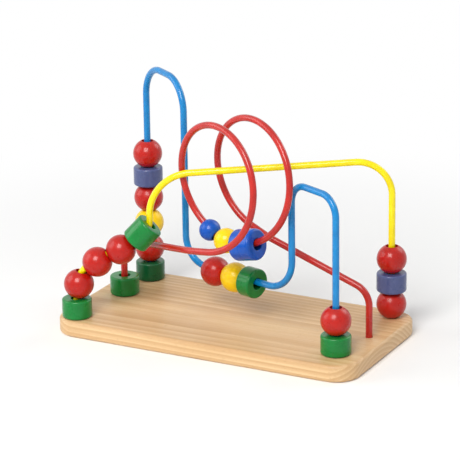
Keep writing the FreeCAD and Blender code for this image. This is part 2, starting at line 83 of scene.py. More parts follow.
def read_along(points: Array, stations: Array, wanted: Array) -> Array:
    """Points of a polyline at the wanted distances, where its own points have the given stations."""
    return np.stack([np.interp(wanted, stations, column) for column in points.T], axis=-1)


def circle(sides: int) -> Array:
    """Equal angles once round."""
    return np.linspace(0.0, FULL_TURN, sides, endpoint=False)


def around(radius: Array, angles: Array, height: Array) -> Array:
    """The grid of points (radius cos a, radius sin a, height)."""
    return np.stack(np.broadcast_arrays(radius * np.cos(angles), radius * np.sin(angles), height), axis=-1)


def arc(radius: float, angles: Array) -> Array:
    """The flat points radius (cos a, sin a)."""
    return radius * np.stack([np.cos(angles), np.sin(angles)], axis=1)


def resample(points: Array, spacing: float) -> Array:
    """Points at equal steps along a polyline.

    Args:
        points: The polyline, one point to a row.
        spacing: The greatest step, along the line.

    Returns:
        The new points, with both ends kept.
    """
    stations = distances(points)
    count = int(math.ceil(stations[-1] / spacing)) + 1
    return read_along(points, stations, np.linspace(0.0, stations[-1], count))


def bend(before: Array, corner: Array, after: Array, radius: float, count: int = 48) -> Array:
    """A circular arc that is tangent to both sides of a corner.

    The arc's points are centre + radius (cos a * inward + sin a * forward), with a across the turn.

    Args:
        before: A point on the side that comes in.
        corner: The corner itself.
        after: A point on the side that goes out.
        radius: The arc's radius.
        count: How many points the arc has.

    Returns:
        The arc's points, one to a row.
    """
    incoming, outgoing = unit(corner - before), unit(after - corner)
    turn = math.acos(float(np.clip(incoming @ outgoing, -1.0, 1.0)))
    bisector = unit(outgoing - incoming)
    centre = corner + bisector * radius / math.cos(turn / 2)
    forward = unit(incoming + outgoing)
    angles = np.linspace(-turn / 2, turn / 2, count)[:, None]
    return centre - bisector * radius * np.cos(angles) + forward * radius * np.sin(angles)


def rounded(corners: list[Array], radii: list[float]) -> Array:
    """A polyline whose inner corners are replaced by tangent arcs.

    Args:
        corners: The corners, with both ends.
        radii: One radius for each inner corner.

    Returns:
        The points, one to a row.
    """
    arcs = [bend(a, b, c, r) for a, b, c, r in zip(corners, corners[1:], corners[2:], radii)]
    return np.concatenate([[corners[0]], *arcs, [corners[-1]]])


@dataclass
class Route:
    """A wire's centre line: points at equal steps, and the distance of each from the start."""

    points: Array
    spacing: float = 0.4 * MM
    chord_steps: int = 12
    stations: Array = field(init=False)

    def __post_init__(self) -> None:
        """Spreads the points evenly and measures their stations."""
        self.points = resample(self.points, self.spacing)
        self.stations = distances(self.points)

    def gap(self, point: Array) -> Array:
        """How far each of the wire's points is from a point in space."""
        return np.linalg.norm(self.points - point, axis=1)

    def chord(self, centre: Array, length: float) -> Array:
        """The way a threaded bead points: across the stretch of wire whose middle lies square beside its centre.

        Args:
            centre: The bead's centre.
            length: The bead's length.

        Returns:
            The unit direction.
        """
        station = float(self.stations[np.argmin(self.gap(centre))])
        for _ in range(self.chord_steps):
            wanted = np.array([station - length / 2, station + length / 2])
            ends = read_along(self.points, self.stations, wanted)
            axis = unit(ends[1] - ends[0])
            station += float((centre - ends.mean(axis=0)) @ axis)
        return axis


def carry_circle(points: Array, radii: Array, reference: Array, sides: int) -> tuple[Array, Array]:
    """A tube: a circle carried along a path.

    Each ring is point + radius (cos a * side + sin a * over), where side is the reference direction made square to the
    path, over is the path's direction crossed with side, and a goes round.

    Args:
        points: The path, one point to a row.
        radii: The tube's radius at each point.
        reference: A direction that the path never takes.
        sides: How many points there are in each ring.

    Returns:
        The surface's points, rings by sides by 3, and the same points on the tube laid out straight along Z.
    """
    forward = unit(np.gradient(points, axis=0))
    side = unit(reference - forward * (forward @ reference)[:, None])
    over = np.cross(forward, side)
    angles = circle(sides)
    cosine, sine = np.cos(angles)[None, :, None], np.sin(angles)[None, :, None]
    surface = points[:, None] + radii[:, None, None] * (cosine * side[:, None] + sine * over[:, None])
    return surface, around(radii[:, None], angles, distances(points)[:, None])


def soften_outline(outline: Array, width: float, count: int, samples: int = 9) -> Array:
    """A closed outline whose corners are eased by a running mean along it.

    Args:
        outline: The closed outline, radius and height in each row.
        width: How far along the outline the mean reaches.
        count: How many points the result has.
        samples: How many points go into each mean.

    Returns:
        The eased outline, at equal steps.
    """
    closed = np.concatenate([outline, outline[:1]])
    stations = distances(closed)
    wanted = np.linspace(0.0, stations[-1], count, endpoint=False)
    sampled = (wanted[:, None] + np.linspace(-width / 2, width / 2, samples)) % stations[-1]
    return np.stack([np.interp(sampled, stations, column).mean(axis=1) for column in closed.T], axis=-1)


def turn_outline(outline: Array, sides: int) -> Array:
    """A surface of revolution about Z, outline by sides by 3, from radius and height in each row."""
    return around(outline[:, :1], circle(sides), outline[:, 1:])


def stand_along(points: Array, centre: Array, axis: Array) -> Array:
    """Points turned so that Z lies along an axis, and moved to a centre."""
    turn = Vector((0.0, 0.0, 1.0)).rotation_difference(Vector(axis)).to_matrix()
    return points @ np.array(turn).T + np.array(Vector(centre))


def grid_faces(rows: int, columns: int, wrap_rows: bool, wrap_columns: bool) -> Array:
    """Quads between the neighbours on a grid, as indices in row order.

    Args:
        rows: The grid's rows.
        columns: The grid's columns.
        wrap_rows: Whether the last row joins the first.
        wrap_columns: Whether the last column joins the first.

    Returns:
        Four indices to a row.
    """
    quads = np.arange(rows if wrap_rows else rows - 1), np.arange(columns if wrap_columns else columns - 1)
    row, column = np.meshgrid(*quads, indexing="ij")
    next_row, next_column = (row + 1) % rows, (column + 1) % columns
    corners = [(row, column), (row, next_column), (next_row, next_column), (next_row, column)]
    return np.stack([r * columns + c for r, c in corners], axis=-1).reshape(-1, 4)


@dataclass
class Shell:
    """Points, faces and point attributes that are gathered into one mesh."""

    points: list[Array] = field(default_factory=list)
    faces: list[list[int]] = field(default_factory=list)
    traits: dict[str, list[Array]] = field(default_factory=dict)
    count: int = 0

    def add(self, points: Array, faces: Array, **traits: Array) -> None:
        """Adds a stretch of surface.

        Args:
            points: Its points, one to a row.
            faces: Indices into those points, one face to a row.
            **traits: Point attributes by name, with a number or a vector for each point.
        """
        self.points.append(points.reshape(-1, 3))
        self.faces += (faces + self.count).tolist()
        added = len(self.points[-1])
        for name, values in traits.items():
            self.traits.setdefault(name, []).append(np.reshape(values, (added, -1)))
        self.count += added

    def add_grid(self, surface: Array, wrap_rows: bool = False, wrap_columns: bool = True, **traits: Array) -> None:
        """Adds a surface that is a grid of points."""
        self.add(surface, grid_faces(*surface.shape[:2], wrap_rows, wrap_columns), **traits)

    def add_tube(self, surface: Array, ends: tuple[Array, Array], **traits: Array) -> None:
        """Adds a tube and closes each end with a fan.

        Args:
            surface: The tube's rings.
            ends: The centres of the fans over the first and the last ring.
            **traits: Grids of point attributes; at a fan's centre a vector is its ring's mean and a number is zero.
        """
        first, (rings, sides) = self.count, surface.shape[:2]
        self.add_grid(surface, **traits)
        here = np.arange(sides)
        there = (here + 1) % sides
        for ring, centre, corners in ((0, ends[0], (there, here)), (rings - 1, ends[1], (here, there))):
            rim = [first + ring * sides + corner for corner in corners]
            fan = np.stack([*rim, np.full(sides, self.count)], axis=1)
            hub = {name: grid[ring].mean(axis=0) if grid.ndim == 3 else 0.0 for name, grid in traits.items()}
            self.add(centre, np.zeros((0, 3), int), **hub)
            self.faces += fan.tolist()

    def build(self, name: str, mend: bool = True, sharp_angle: float = math.radians(38)) -> Piece:
        """Makes the object.

        Args:
            name: The object's name.
            mend: Whether double points are merged and the faces turned outwards.
            sharp_angle: The angle between faces above which an edge is drawn sharp.

        Returns:
            The object, at the origin.
        """
        mesh = bpy.data.meshes.new(name)
        mesh.from_pydata(np.concatenate(self.points).tolist(), [], self.faces)
        for label, stretches in self.traits.items():
            values = np.concatenate(stretches).astype(np.float32)
            kind, key = ("FLOAT", "value") if values.shape[1] == 1 else ("FLOAT_VECTOR", "vector")
            mesh.attributes.new(label, kind, "POINT").data.foreach_set(key, values.ravel())
        if mend:
            editable = bmesh.new()
            editable.from_mesh(mesh)
            bmesh.ops.remove_doubles(editable, verts=editable.verts, dist=TOUCHING)
            bmesh.ops.recalc_face_normals(editable, faces=editable.faces)
            editable.to_mesh(mesh)
            editable.free()
        mesh.shade_smooth()
        mesh.set_sharp_from_angle(angle=sharp_angle)
        mesh.update()
        piece = bpy.data.objects.new(name, mesh)
        bpy.context.scene.collection.objects.link(piece)
        return piece


# shader wiring

def linear(red: int, green: int, blue: int) -> Linear:
    """The linear colour, with full alpha, of a screen colour.

    Args:
        red: The red share, of 0 to 255.
        green: The green share.
        blue: The blue share.

    Returns:
        Red, green and blue of 0 to 1, and full alpha.
    """
    shares = np.array([red, green, blue]) / 255.0
    values = np.where(shares <= 0.04045, shares / 12.92, ((shares + 0.055) / 1.055) ** 2.4)
    return (*(float(value) for value in values), 1.0)


class Wiring:
    """Adds nodes to a tree; an input that is given a socket is linked, and any other is set."""

    def __init__(self, tree: bpy.types.NodeTree) -> None:
        """Keeps the tree."""
        self.tree = tree

    def fill(self, node: bpy.types.Node, inputs: dict[str | int, object]) -> bpy.types.Node:
        """Links or sets a node's inputs.

        Args:
            node: The node.
            inputs: Values or sockets by the input's name or place.

        Returns:
            The same node.
        """
        for key, value in inputs.items():
            if isinstance(value, Socket):
                self.tree.links.new(value, node.inputs[key])
            else:
                node.inputs[key].default_value = value
        return node

    def node(self, kind: str, inputs: dict[str | int, object] | None = None, **settings: object) -> bpy.types.Node:
        """Adds a node.

        Args:
            kind: The node's type.
            inputs: Values or sockets by the input's name or place.
            **settings: The node's own properties.

        Returns:
            The node.
        """
        node = self.tree.nodes.new(kind)
        for name, value in settings.items():
            setattr(node, name, value)
        return self.fill(node, inputs or {})

    def math(self, operation: str, first: object, second: object = 0.0, clamp: bool = False) -> Socket:
        """The result of a Math node."""
        return self.node("ShaderNodeMath", {0: first, 1: second}, operation=operation, use_clamp=clamp).outputs[0]

    def plus(self, first: object, second: object, clamp: bool = False) -> Socket:
        """One value and another, added."""
        return self.math("ADD", first, second, clamp)

    def minus(self, first: object, second: object) -> Socket:
        """One value less another."""
        return self.math("SUBTRACT", first, second)

    def times(self, first: object, second: object) -> Socket:
        """One value times another."""
        return self.math("MULTIPLY", first, second)

    def noise(self, place: Socket, scale: object, detail: float = 2.0, roughness: float = 0.5,
              stretch: object = None) -> Socket:
        """The value of a Noise Texture, at a place that is first multiplied by the stretch.

        Args:
            place: Where the noise is read.
            scale: How many swells there are to a metre.
            detail: How many finer layers it has.
            roughness: How strong those are.
            stretch: A vector, small along the direction in which the noise is drawn out.

        Returns:
            The value, of 0 to 1.
        """
        if stretch is not None:
            place = self.node("ShaderNodeVectorMath", {0: place, 1: stretch}, operation="MULTIPLY").outputs[0]
        inputs = {"Vector": place, "Scale": scale, "Detail": detail, "Roughness": roughness}
        return self.node("ShaderNodeTexNoise", inputs).outputs["Fac"]

    def spread(self, value: Socket, low: object, high: object, to_low: float = 0.0, to_high: float = 1.0) -> Socket:
        """A value mapped smoothly from one range to another, and held inside it."""
        inputs = {"Value": value, "From Min": low, "From Max": high, "To Min": to_low, "To Max": to_high}
        return self.node("ShaderNodeMapRange", inputs, interpolation_type="SMOOTHSTEP").outputs["Result"]

    def mix(self, share: object, first: object, second: object) -> Socket:
        """A colour between two colours that are sockets or linear."""
        return self.node("ShaderNodeMix", {0: share, 6: first, 7: second}, data_type="RGBA").outputs[2]

    def coats(self, ground: Socket | Colour, *coats: tuple[Socket, Socket | Colour]) -> Socket:
        """A ground colour with others laid over it in turn.

        Args:
            ground: The first colour.
            *coats: How much of each coat there is, and its colour.

        Returns:
            The colour.
        """
        for share, coat in coats:
            pair = (colour if isinstance(colour, Socket) else linear(*colour) for colour in (ground, coat))
            ground = self.mix(share, *pair)
        return ground

    def bump(self, height: Socket, strength: float, distance: float) -> Socket:
        """The normal of a Bump node."""
        inputs = {"Height": height, "Strength": strength, "Distance": distance}
        return self.node("ShaderNodeBump", inputs).outputs[0]

    def attribute(self, name: str, output: str = "Fac") -> Socket:
        """A point attribute of the mesh."""
        return self.node("ShaderNodeAttribute", attribute_name=name).outputs[output]

    def object_place(self) -> Socket:
        """Where a point of the piece lies, in its Object coordinates."""
        return self.node("ShaderNodeTexCoord").outputs["Object"]


class Effect:
    """A shader node group that is built once and placed in each material that uses it.

    It has an input Vector, number inputs with their defaults, and number outputs.
    """

    label = ""
    inputs: dict[str, float] = {}
    outputs: tuple[str, ...] = ()

    @classmethod
    def wire(cls, wiring: Wiring, place: Socket, *given: Socket) -> tuple[Socket, ...]:
        """Adds the group's own nodes.

        Args:
            wiring: The group's wiring.
            place: Where a point of the piece lies.
            *given: The number inputs, in order.

        Returns:
            The outputs, in order.
        """
        raise NotImplementedError

    @classmethod
    @cache
    def group(cls) -> bpy.types.NodeTree:
        """The node group, made at its first use.

        Returns:
            The group's tree.
        """
        tree = bpy.data.node_groups.new(cls.label, "ShaderNodeTree")
        tree.interface.new_socket(name="Vector", in_out="INPUT", socket_type="NodeSocketVector")
        for name, value in cls.inputs.items():
            socket = tree.interface.new_socket(name=name, in_out="INPUT", socket_type="NodeSocketFloat")
            socket.default_value = value
        for name in cls.outputs:
            tree.interface.new_socket(name=name, in_out="OUTPUT", socket_type="NodeSocketFloat")
        wiring = Wiring(tree)
        given = wiring.node("NodeGroupInput").outputs
        results = cls.wire(wiring, *(given[name] for name in ("Vector", *cls.inputs)))
        wiring.node("NodeGroupOutput", dict(zip(cls.outputs, results)))
        return tree

    @classmethod
    def place(cls, wiring: Wiring, vector: Socket, **values: object) -> bpy.types.bpy_prop_collection:
        """Places the group in a tree.

        Args:
            wiring: The tree's wiring.
            vector: Where a point of the piece lies.
            **values: The other inputs, with underscores for the spaces in their names.

        Returns:
            The group's outputs.
        """
        named = {name.replace("_", " ").title(): value for name, value in values.items()}
        return wiring.node("ShaderNodeGroup", {"Vector": vector, **named}, node_tree=cls.group()).outputs


class TurnedGrain(Effect):
    """Wood grain of a turned piece whose fibres run along Z: faint bands and fine streaks."""

    label = "turned grain"
    inputs = {"Band Width": 0.0016, "Wander": 0.0012}
    outputs = ("Bands", "Fibres")

    @classmethod
    def wire(cls, wiring: Wiring, place: Socket, width: Socket, wander: Socket) -> tuple[Socket, ...]:
        """Bands are a wave across the bead, bent by slow noise, and fibres are noise stretched along Z.

        Args:
            wiring: The group's wiring.
            place: Where a point of the piece lies.
            width: How wide a band is.
            wander: How far the slow noise bends it.

        Returns:
            The bands and the fibres.
        """
        slow = wiring.noise(place, 90.0, 2.0, stretch=(1.0, 1.0, 0.35))
        across = wiring.node("ShaderNodeSeparateXYZ", {0: place}).outputs[0]
        turns = wiring.math("DIVIDE", wiring.plus(across, wiring.times(slow, wander)), width)
        bands = wiring.spread(wiring.math("SINE", wiring.times(turns, FULL_TURN)), -0.4, 1.0)
        return bands, wiring.noise(place, 2600.0, 3.0, 0.6, (1.0, 1.0, 0.06))


class EdgeWear(Effect):
    """Where a finish is rubbed or chipped off, most of all along edges."""

    label = "edge wear"
    inputs = {"Edge": 0.0, "Scale": 900.0, "Amount": 0.3, "Softness": 0.04}
    outputs = ("Mask",)
    threshold = 0.86

    @classmethod
    def wire(cls, wiring: Wiring, place: Socket, edge: Socket, scale: Socket, amount: Socket,
             softness: Socket) -> tuple[Socket, ...]:
        """The mask is one where noise plus a share of the edge value passes a threshold.

        Args:
            wiring: The group's wiring.
            place: Where a point of the piece lies.
            edge: How near an edge the point is.
            scale: The noise's scale.
            amount: The share of the edge value.
            softness: How wide the mask's rim is.

        Returns:
            The mask.
        """
        raised = wiring.plus(wiring.noise(place, scale, 4.0, 0.62), wiring.times(edge, amount))
        return (wiring.spread(raised, cls.threshold, wiring.plus(softness, cls.threshold)),)


class SettledDust(Effect):
    """A little dust on what faces up."""

    label = "settled dust"
    inputs = {"Scale": 160.0, "Amount": 0.08}
    outputs = ("Mask",)

    @classmethod
    def wire(cls, wiring: Wiring, place: Socket, scale: Socket, amount: Socket) -> tuple[Socket, ...]:
        """The mask is the upward share of the normal times clouds and fine specks.

        Args:
            wiring: The group's wiring.
            place: Where a point of the piece lies.
            scale: The clouds' scale.
            amount: How much dust there is.

        Returns:
            The mask.
        """
        normal = wiring.node("ShaderNodeNewGeometry").outputs["Normal"]
        facing = wiring.spread(wiring.node("ShaderNodeSeparateXYZ", {0: normal}).outputs[2], 0.35, 1.0)
        clouds = wiring.spread(wiring.noise(place, scale, 4.0, 0.7), 0.4, 0.75)
        specks = wiring.spread(wiring.noise(place, 5200.0, 1.0), 0.68, 0.76)
        return (wiring.times(wiring.times(facing, wiring.plus(clouds, specks, clamp=True)), amount),)


class PoolingSkin(Effect):
    """The skin of a dipped finish: a slow swell and a fine orange peel, as a height."""

    label = "pooling skin"
    inputs = {"Swell Scale": 120.0, "Peel Scale": 900.0, "Peel Share": 0.25}
    outputs = ("Height", "Swell")

    @classmethod
    def wire(cls, wiring: Wiring, place: Socket, swell_scale: Socket, peel_scale: Socket,
             peel_share: Socket) -> tuple[Socket, ...]:
        """The height is slow noise plus a share of fine noise.

        Args:
            wiring: The group's wiring.
            place: Where a point of the piece lies.
            swell_scale: The slow noise's scale.
            peel_scale: The fine noise's scale.
            peel_share: The share of the fine noise.

        Returns:
            The height and the swell.
        """
        swell = wiring.noise(place, swell_scale, 1.0)
        peel = wiring.noise(place, peel_scale, 2.0, 0.45)
        return wiring.plus(swell, wiring.times(peel, peel_share)), swell


class RubbedStreaks(Effect):
    """Fine rub marks along Z, where beads have slid."""

    label = "rubbed streaks"
    inputs = {"Across": 2600.0, "Along": 45.0, "Amount": 0.5}
    outputs = ("Mask",)

    @classmethod
    def wire(cls, wiring: Wiring, place: Socket, across: Socket, along: Socket, amount: Socket) -> tuple[Socket, ...]:
        """Noise that is fine across the piece and slow along it, kept only in patches.

        Args:
            wiring: The group's wiring.
            place: Where a point of the piece lies.
            across: The noise's scale across the piece.
            along: Its scale along the piece.
            amount: How much of it shows.

        Returns:
            The mask.
        """
        stretch = wiring.node("ShaderNodeCombineXYZ", {0: across, 1: across, 2: along}).outputs[0]
        lines = wiring.spread(wiring.noise(place, 1.0, 2.0, 0.6, stretch), 0.56, 0.72)
        patches = wiring.spread(wiring.noise(place, 34.0, 2.0), 0.42, 0.66)
        return (wiring.times(wiring.times(lines, patches), amount),)


class SawnGrain(Effect):
    """Wood of a sawn board with its fibres along X: growth rings round a far axis, streaks, pores and ray flecks."""

    label = "sawn grain"
    inputs = {"Ring Width": 0.0042, "Wander": 0.006, "Pith Depth": 0.07}
    outputs = ("Rings", "Streaks", "Pores", "Clouds")
    pith_offset = 0.018

    @classmethod
    def wire(cls, wiring: Wiring, place: Socket, width: Socket, wander: Socket, pith: Socket) -> tuple[Socket, ...]:
        """Rings are a wave in the distance from the pith, an axis below the board, bent by noise slow along X.

        Args:
            wiring: The group's wiring.
            place: Where a point of the piece lies.
            width: How wide a ring is.
            wander: How far the slow noise bends it.
            pith: How far below the board the pith lies.

        Returns:
            The rings, the streaks, the pores and the clouds.
        """
        parts = wiring.node("ShaderNodeSeparateXYZ", {0: place}).outputs
        slow = wiring.noise(place, 1.0, 2.0, 0.5, (3.2, 16.0, 16.0))
        depth, side = wiring.plus(parts[2], pith), wiring.plus(parts[1], cls.pith_offset)
        squares = wiring.plus(wiring.times(depth, depth), wiring.times(side, side))
        distance = wiring.plus(wiring.math("SQRT", squares), wiring.times(slow, wander))
        turns = wiring.math("FRACT", wiring.math("DIVIDE", distance, width))
        rings = wiring.times(wiring.spread(turns, 0.0, 0.78), wiring.spread(turns, 0.86, 1.0, 1.0, 0.0))
        streaks = wiring.noise(place, 1.0, 4.0, 0.62, (14.0, 900.0, 900.0))
        pores = wiring.noise(place, 1.0, 1.0, stretch=(240.0, 2600.0, 2600.0))
        clouds = wiring.noise(place, 1.0, 3.0, 0.55, (9.0, 22.0, 22.0))
        return rings, streaks, wiring.spread(pores, 0.64, 0.72), clouds


# finishes

def new_material(name: str) -> tuple[bpy.types.Material, Wiring, bpy.types.Node]:
    """An empty node material, with its Principled BSDF joined to the output.

    Args:
        name: The material's name.

    Returns:
        The material, its wiring and its Principled BSDF.
    """
    material = bpy.data.materials.new(name)
    material.use_nodes = True
    material.node_tree.nodes.clear()
    wiring = Wiring(material.node_tree)
    principled = wiring.node("ShaderNodeBsdfPrincipled")
    wiring.node("ShaderNodeOutputMaterial", {"Surface": principled.outputs[0]})
    return material, wiring, principled


class Finish:
    """A finish for one of the record's material slots."""

    slot: str

    def sockets(self, wiring: Wiring) -> dict[str, object]:
        """Adds the finish's nodes.

        Args:
            wiring: The material's wiring.

        Returns:
            What goes into the Principled BSDF, by the input's name.
        """
        raise NotImplementedError

    @cache
    def material(self) -> bpy.types.Material:
        """The finish's material, made once.

        Returns:
            The material, whose name is the slot.
        """
        material, wiring, principled = new_material(self.slot)
        wiring.fill(principled, self.sockets(wiring))
        return material


@dataclass(frozen=True)
class Lacquer(Finish):
    """Glossy nursery lacquer on a turned wooden bead."""

    slot: str
    colour: Colour
    deep: Colour
    bare: Colour = (214, 178, 132)
    bare_shade: Colour = (176, 134, 88)
    dust: Colour = (214, 208, 198)
    roughness: float = 0.24
    coat: float = 0.3
    coat_roughness: float = 0.06
    chip_amount: float = 0.19
    relief: float = 0.07 * MM

    def sockets(self, wiring: Wiring) -> dict[str, object]:
        """Pigment over faint grain, with painted shade on the bore's wall, small chips at the rims and dust.

        Args:
            wiring: The material's wiring.

        Returns:
            What goes into the Principled BSDF, by the input's name.
        """
        place = wiring.attribute("grain_space", "Vector")
        grain = TurnedGrain.place(wiring, place)
        skin = PoolingSkin.place(wiring, place, swell_scale=150.0, peel_scale=1100.0, peel_share=0.18)
        wear = EdgeWear.place(wiring, place, edge=wiring.attribute("edge"), scale=700.0, amount=self.chip_amount,
                              softness=0.03)["Mask"]
        colour = wiring.coats(
            self.colour,
            (wiring.spread(skin["Swell"], 0.3, 0.7, 0.0, 0.22), self.deep),
            (wiring.times(wiring.attribute("tone"), 0.25), self.deep),
            (wiring.times(grain["Bands"], 0.05), self.deep),
            # painted shade: the bore's wall is mixed towards the deep colour, standing in for the shade inside the
            # hole
            (wiring.times(wiring.attribute("bore"), 0.55), self.deep),
            (wear, wiring.coats(self.bare, (grain["Fibres"], self.bare_shade))),
            (SettledDust.place(wiring, place, amount=0.02)["Mask"], self.dust),
        )
        handled = wiring.noise(place, 70.0, 3.0, 0.6)
        shine = wiring.spread(handled, 0.35, 0.7, self.roughness, self.roughness + 0.13)
        skinned = wiring.plus(skin["Height"], wiring.times(grain["Fibres"], 0.05))
        lowered = wiring.minus(skinned, wiring.times(wear, 0.6))
        return {
            "Base Color": colour, "Roughness": wiring.plus(shine, wiring.times(wear, 0.4), clamp=True),
            "Normal": wiring.bump(lowered, 0.3, self.relief), "IOR": 1.34, "Coat IOR": 1.4,
            "Coat Weight": wiring.times(wiring.minus(1.0, wear), self.coat),
            "Coat Roughness": self.coat_roughness,
        }


@dataclass(frozen=True)
class Coating(Finish):
    """The smooth plastic skin of a dipped steel wire."""

    slot: str
    colour: Colour
    deep: Colour
    rubbed: Colour
    steel: Colour = (150, 150, 150)
    dust: Colour = (216, 212, 204)
    roughness: float = 0.2
    coat: float = 0.5
    coat_roughness: float = 0.1
    relief: float = 0.04 * MM

    def sockets(self, wiring: Wiring) -> dict[str, object]:
        """Pigment with slow thick and thin stretches, pale rub marks along the wire, and a waxy gloss.

        Args:
            wiring: The material's wiring.

        Returns:
            What goes into the Principled BSDF, by the input's name.
        """
        place = wiring.attribute("grain_space", "Vector")
        skin = PoolingSkin.place(wiring, place, swell_scale=85.0, peel_scale=1500.0, peel_share=0.14)
        streaks = RubbedStreaks.place(wiring, place, amount=0.12)["Mask"]
        bared = EdgeWear.place(wiring, place, edge=wiring.attribute("edge"), scale=1600.0, amount=0.3, softness=0.05)
        colour = wiring.coats(
            self.colour,
            (wiring.spread(skin["Swell"], 0.3, 0.7, 0.0, 0.4), self.deep),
            (streaks, self.rubbed),
            (bared["Mask"], self.steel),
            (SettledDust.place(wiring, place, amount=0.025)["Mask"], self.dust),
        )
        shine = wiring.spread(wiring.noise(place, 60.0, 3.0, 0.6), 0.35, 0.7, self.roughness, self.roughness + 0.1)
        height = wiring.minus(skin["Height"], wiring.times(streaks, 0.35))
        return {
            "Base Color": colour, "Roughness": wiring.plus(shine, wiring.times(streaks, 0.5), clamp=True),
            "Normal": wiring.bump(height, 0.2, self.relief), "IOR": 1.34,
            "Coat Weight": self.coat, "Coat Roughness": self.coat_roughness, "Coat IOR": 1.4,
        }


@dataclass(frozen=True)
class BareBoard(Finish):
    """Pale, smoothly sanded wood under a thin clear varnish."""

    slot: str = "bare_wood"
    early: Colour = (226, 193, 146)
    late: Colour = (196, 150, 98)
    cloud: Colour = (206, 164, 112)
    pore: Colour = (150, 104, 62)
    rubbed: Colour = (236, 212, 174)
    dust: Colour = (226, 220, 208)
    roughness: float = 0.4
    coat: float = 0.12
    coat_roughness: float = 0.25
    relief: float = 0.12 * MM

    def sockets(self, wiring: Wiring) -> dict[str, object]:
        """Growth rings and fibres through the whole board, so that its ends show end grain.

        Args:
            wiring: The material's wiring.

        Returns:
            What goes into the Principled BSDF, by the input's name.
        """
        place, edge = wiring.object_place(), wiring.attribute("edge")
        grain = SawnGrain.place(wiring, place)
        wear = EdgeWear.place(wiring, place, edge=edge, scale=420.0, amount=0.26, softness=0.08)["Mask"]
        colour = wiring.coats(
            self.early,
            (wiring.times(grain["Rings"], 0.62), self.late),
            (wiring.spread(grain["Clouds"], 0.35, 0.7, 0.0, 0.3), self.cloud),
            (wiring.spread(grain["Streaks"], 0.42, 0.72, 0.0, 0.34), self.late),
            (wiring.times(grain["Pores"], 0.4), self.pore),
            (wiring.times(edge, 0.12), self.pore),
            (wiring.times(wear, 0.5), self.rubbed),
            (SettledDust.place(wiring, place, scale=60.0, amount=0.05)["Mask"], self.dust),
        )
        fibres = wiring.minus(wiring.times(grain["Streaks"], 0.5), wiring.times(grain["Pores"], 0.8))
        height = wiring.plus(fibres, wiring.times(grain["Rings"], 0.35))
        return {
            "Base Color": colour,
            "Roughness": wiring.spread(grain["Streaks"], 0.3, 0.7, self.roughness, self.roughness + 0.16),
            "Normal": wiring.bump(height, 0.3, self.relief), "IOR": 1.5,
            "Coat Weight": self.coat, "Coat Roughness": self.coat_roughness,
        }


@dataclass(frozen=True)
class ZincSteel(Finish):
    """Zinc-plated steel of nuts, washers and threaded wire ends."""

    slot: str = "zinc_steel"
    colour: Colour = (196, 198, 196)
    warm: Colour = (206, 196, 164)
    worn: Colour = (120, 116, 110)
    relief: float = 0.05 * MM

    def sockets(self, wiring: Wiring) -> dict[str, object]:
        """Bright metal with a faint yellow bloom, worn plating on the edges and fine tool marks.

        Args:
            wiring: The material's wiring.

        Returns:
            What goes into the Principled BSDF, by the input's name.
        """
        place = wiring.object_place()
        wear = EdgeWear.place(wiring, place, edge=wiring.attribute("edge"), scale=1800.0, amount=0.36, softness=0.1)
        bloom = wiring.spread(wiring.noise(place, 260.0, 3.0, 0.6), 0.4, 0.7, 0.0, 0.6)
        marks = wiring.noise(place, 2400.0, 2.0, 0.6, (1.0, 1.0, 5.0))
        return {
            "Base Color": wiring.coats(self.colour, (bloom, self.warm), (wear["Mask"], self.worn)), "Metallic": 1.0,
            "Roughness": wiring.spread(marks, 0.35, 0.7, 0.26, 0.46),
            "Normal": wiring.bump(marks, 0.25, self.relief),
        }


class Paint(Enum):
    """The lacquers of the beads."""

    RED = Lacquer("red_lacquer", (188, 24, 12), (140, 12, 8))
    YELLOW = Lacquer("yellow_lacquer", (250, 212, 2), (232, 182, 0))
    GREEN = Lacquer("green_lacquer", (2, 126, 50), (1, 92, 38))
    DARK_GREEN = Lacquer("dark_green_lacquer", (4, 92, 48), (2, 64, 36))
    BLUE = Lacquer("blue_lacquer", (0, 84, 186), (0, 58, 148))
    LILAC = Lacquer("lilac_lacquer", (80, 90, 134), (60, 68, 110))


class Skin(Enum):
    """The coatings of the wires."""

    BLUE = Coating("blue_coating", (0, 130, 196), (0, 100, 166), (92, 172, 214))
    RED = Coating("red_coating", (190, 36, 28), (150, 24, 18), (216, 104, 92))
    YELLOW = Coating("yellow_coating", (248, 228, 0), (226, 196, 0), (250, 242, 140))


def dress(piece: Piece, finish: Finish, body: str, node: str | None = None) -> Piece:
    """Gives a piece its finish and its body, and hides the solid that it stands for.

    Args:
        piece: The piece.
        finish: Its finish, which names the record's slot.
        body: The body that it rides on.
        node: The solid that it replaces, if any.

    Returns:
        The piece.
    """
    piece.data.materials.append(finish.material())
    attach(piece, body)
    if node:
        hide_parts(node)
    return piece


# the parts

class Leg(Enum):
    """Where the wires stand or turn, as shares of the board's half length and half width."""

    BLUE_LEFT = (-0.807, 0.76)
    BLUE_INNER = (-0.391, 0.213)
    BLUE_LOW = (0.454, -0.267)
    BLUE_RIGHT = (0.821, -0.6)
    RED_LEFT = (-0.814, 0.147)
    RED_RIGHT = (0.883, 0.04)
    YELLOW_LEFT = (-0.869, -0.8)
    YELLOW_INNER = (-0.444, -0.467)
    YELLOW_RIGHT = (0.862, 0.76)
    LOOP = (-0.021, -0.773)


@dataclass(frozen=True)
class Wire:
    """One wire: its solid, its coating, its feet, and a level direction that it never takes."""

    node: str
    skin: Skin
    feet: tuple[Leg, Leg]
    aside: tuple[float, float, float]


WIRES = (
    Wire("blue_wire", Skin.BLUE, (Leg.BLUE_LEFT, Leg.BLUE_RIGHT), (0.42, 0.906, 0.0)),
    Wire("red_wire", Skin.RED, (Leg.RED_LEFT, Leg.RED_RIGHT), (0.302, 0.953, 0.0)),
    Wire("yellow_wire", Skin.YELLOW, (Leg.YELLOW_LEFT, Leg.YELLOW_RIGHT), (-0.41, 0.91, 0.0)),
)
FEET = tuple(leg for wire in WIRES for leg in wire.feet)


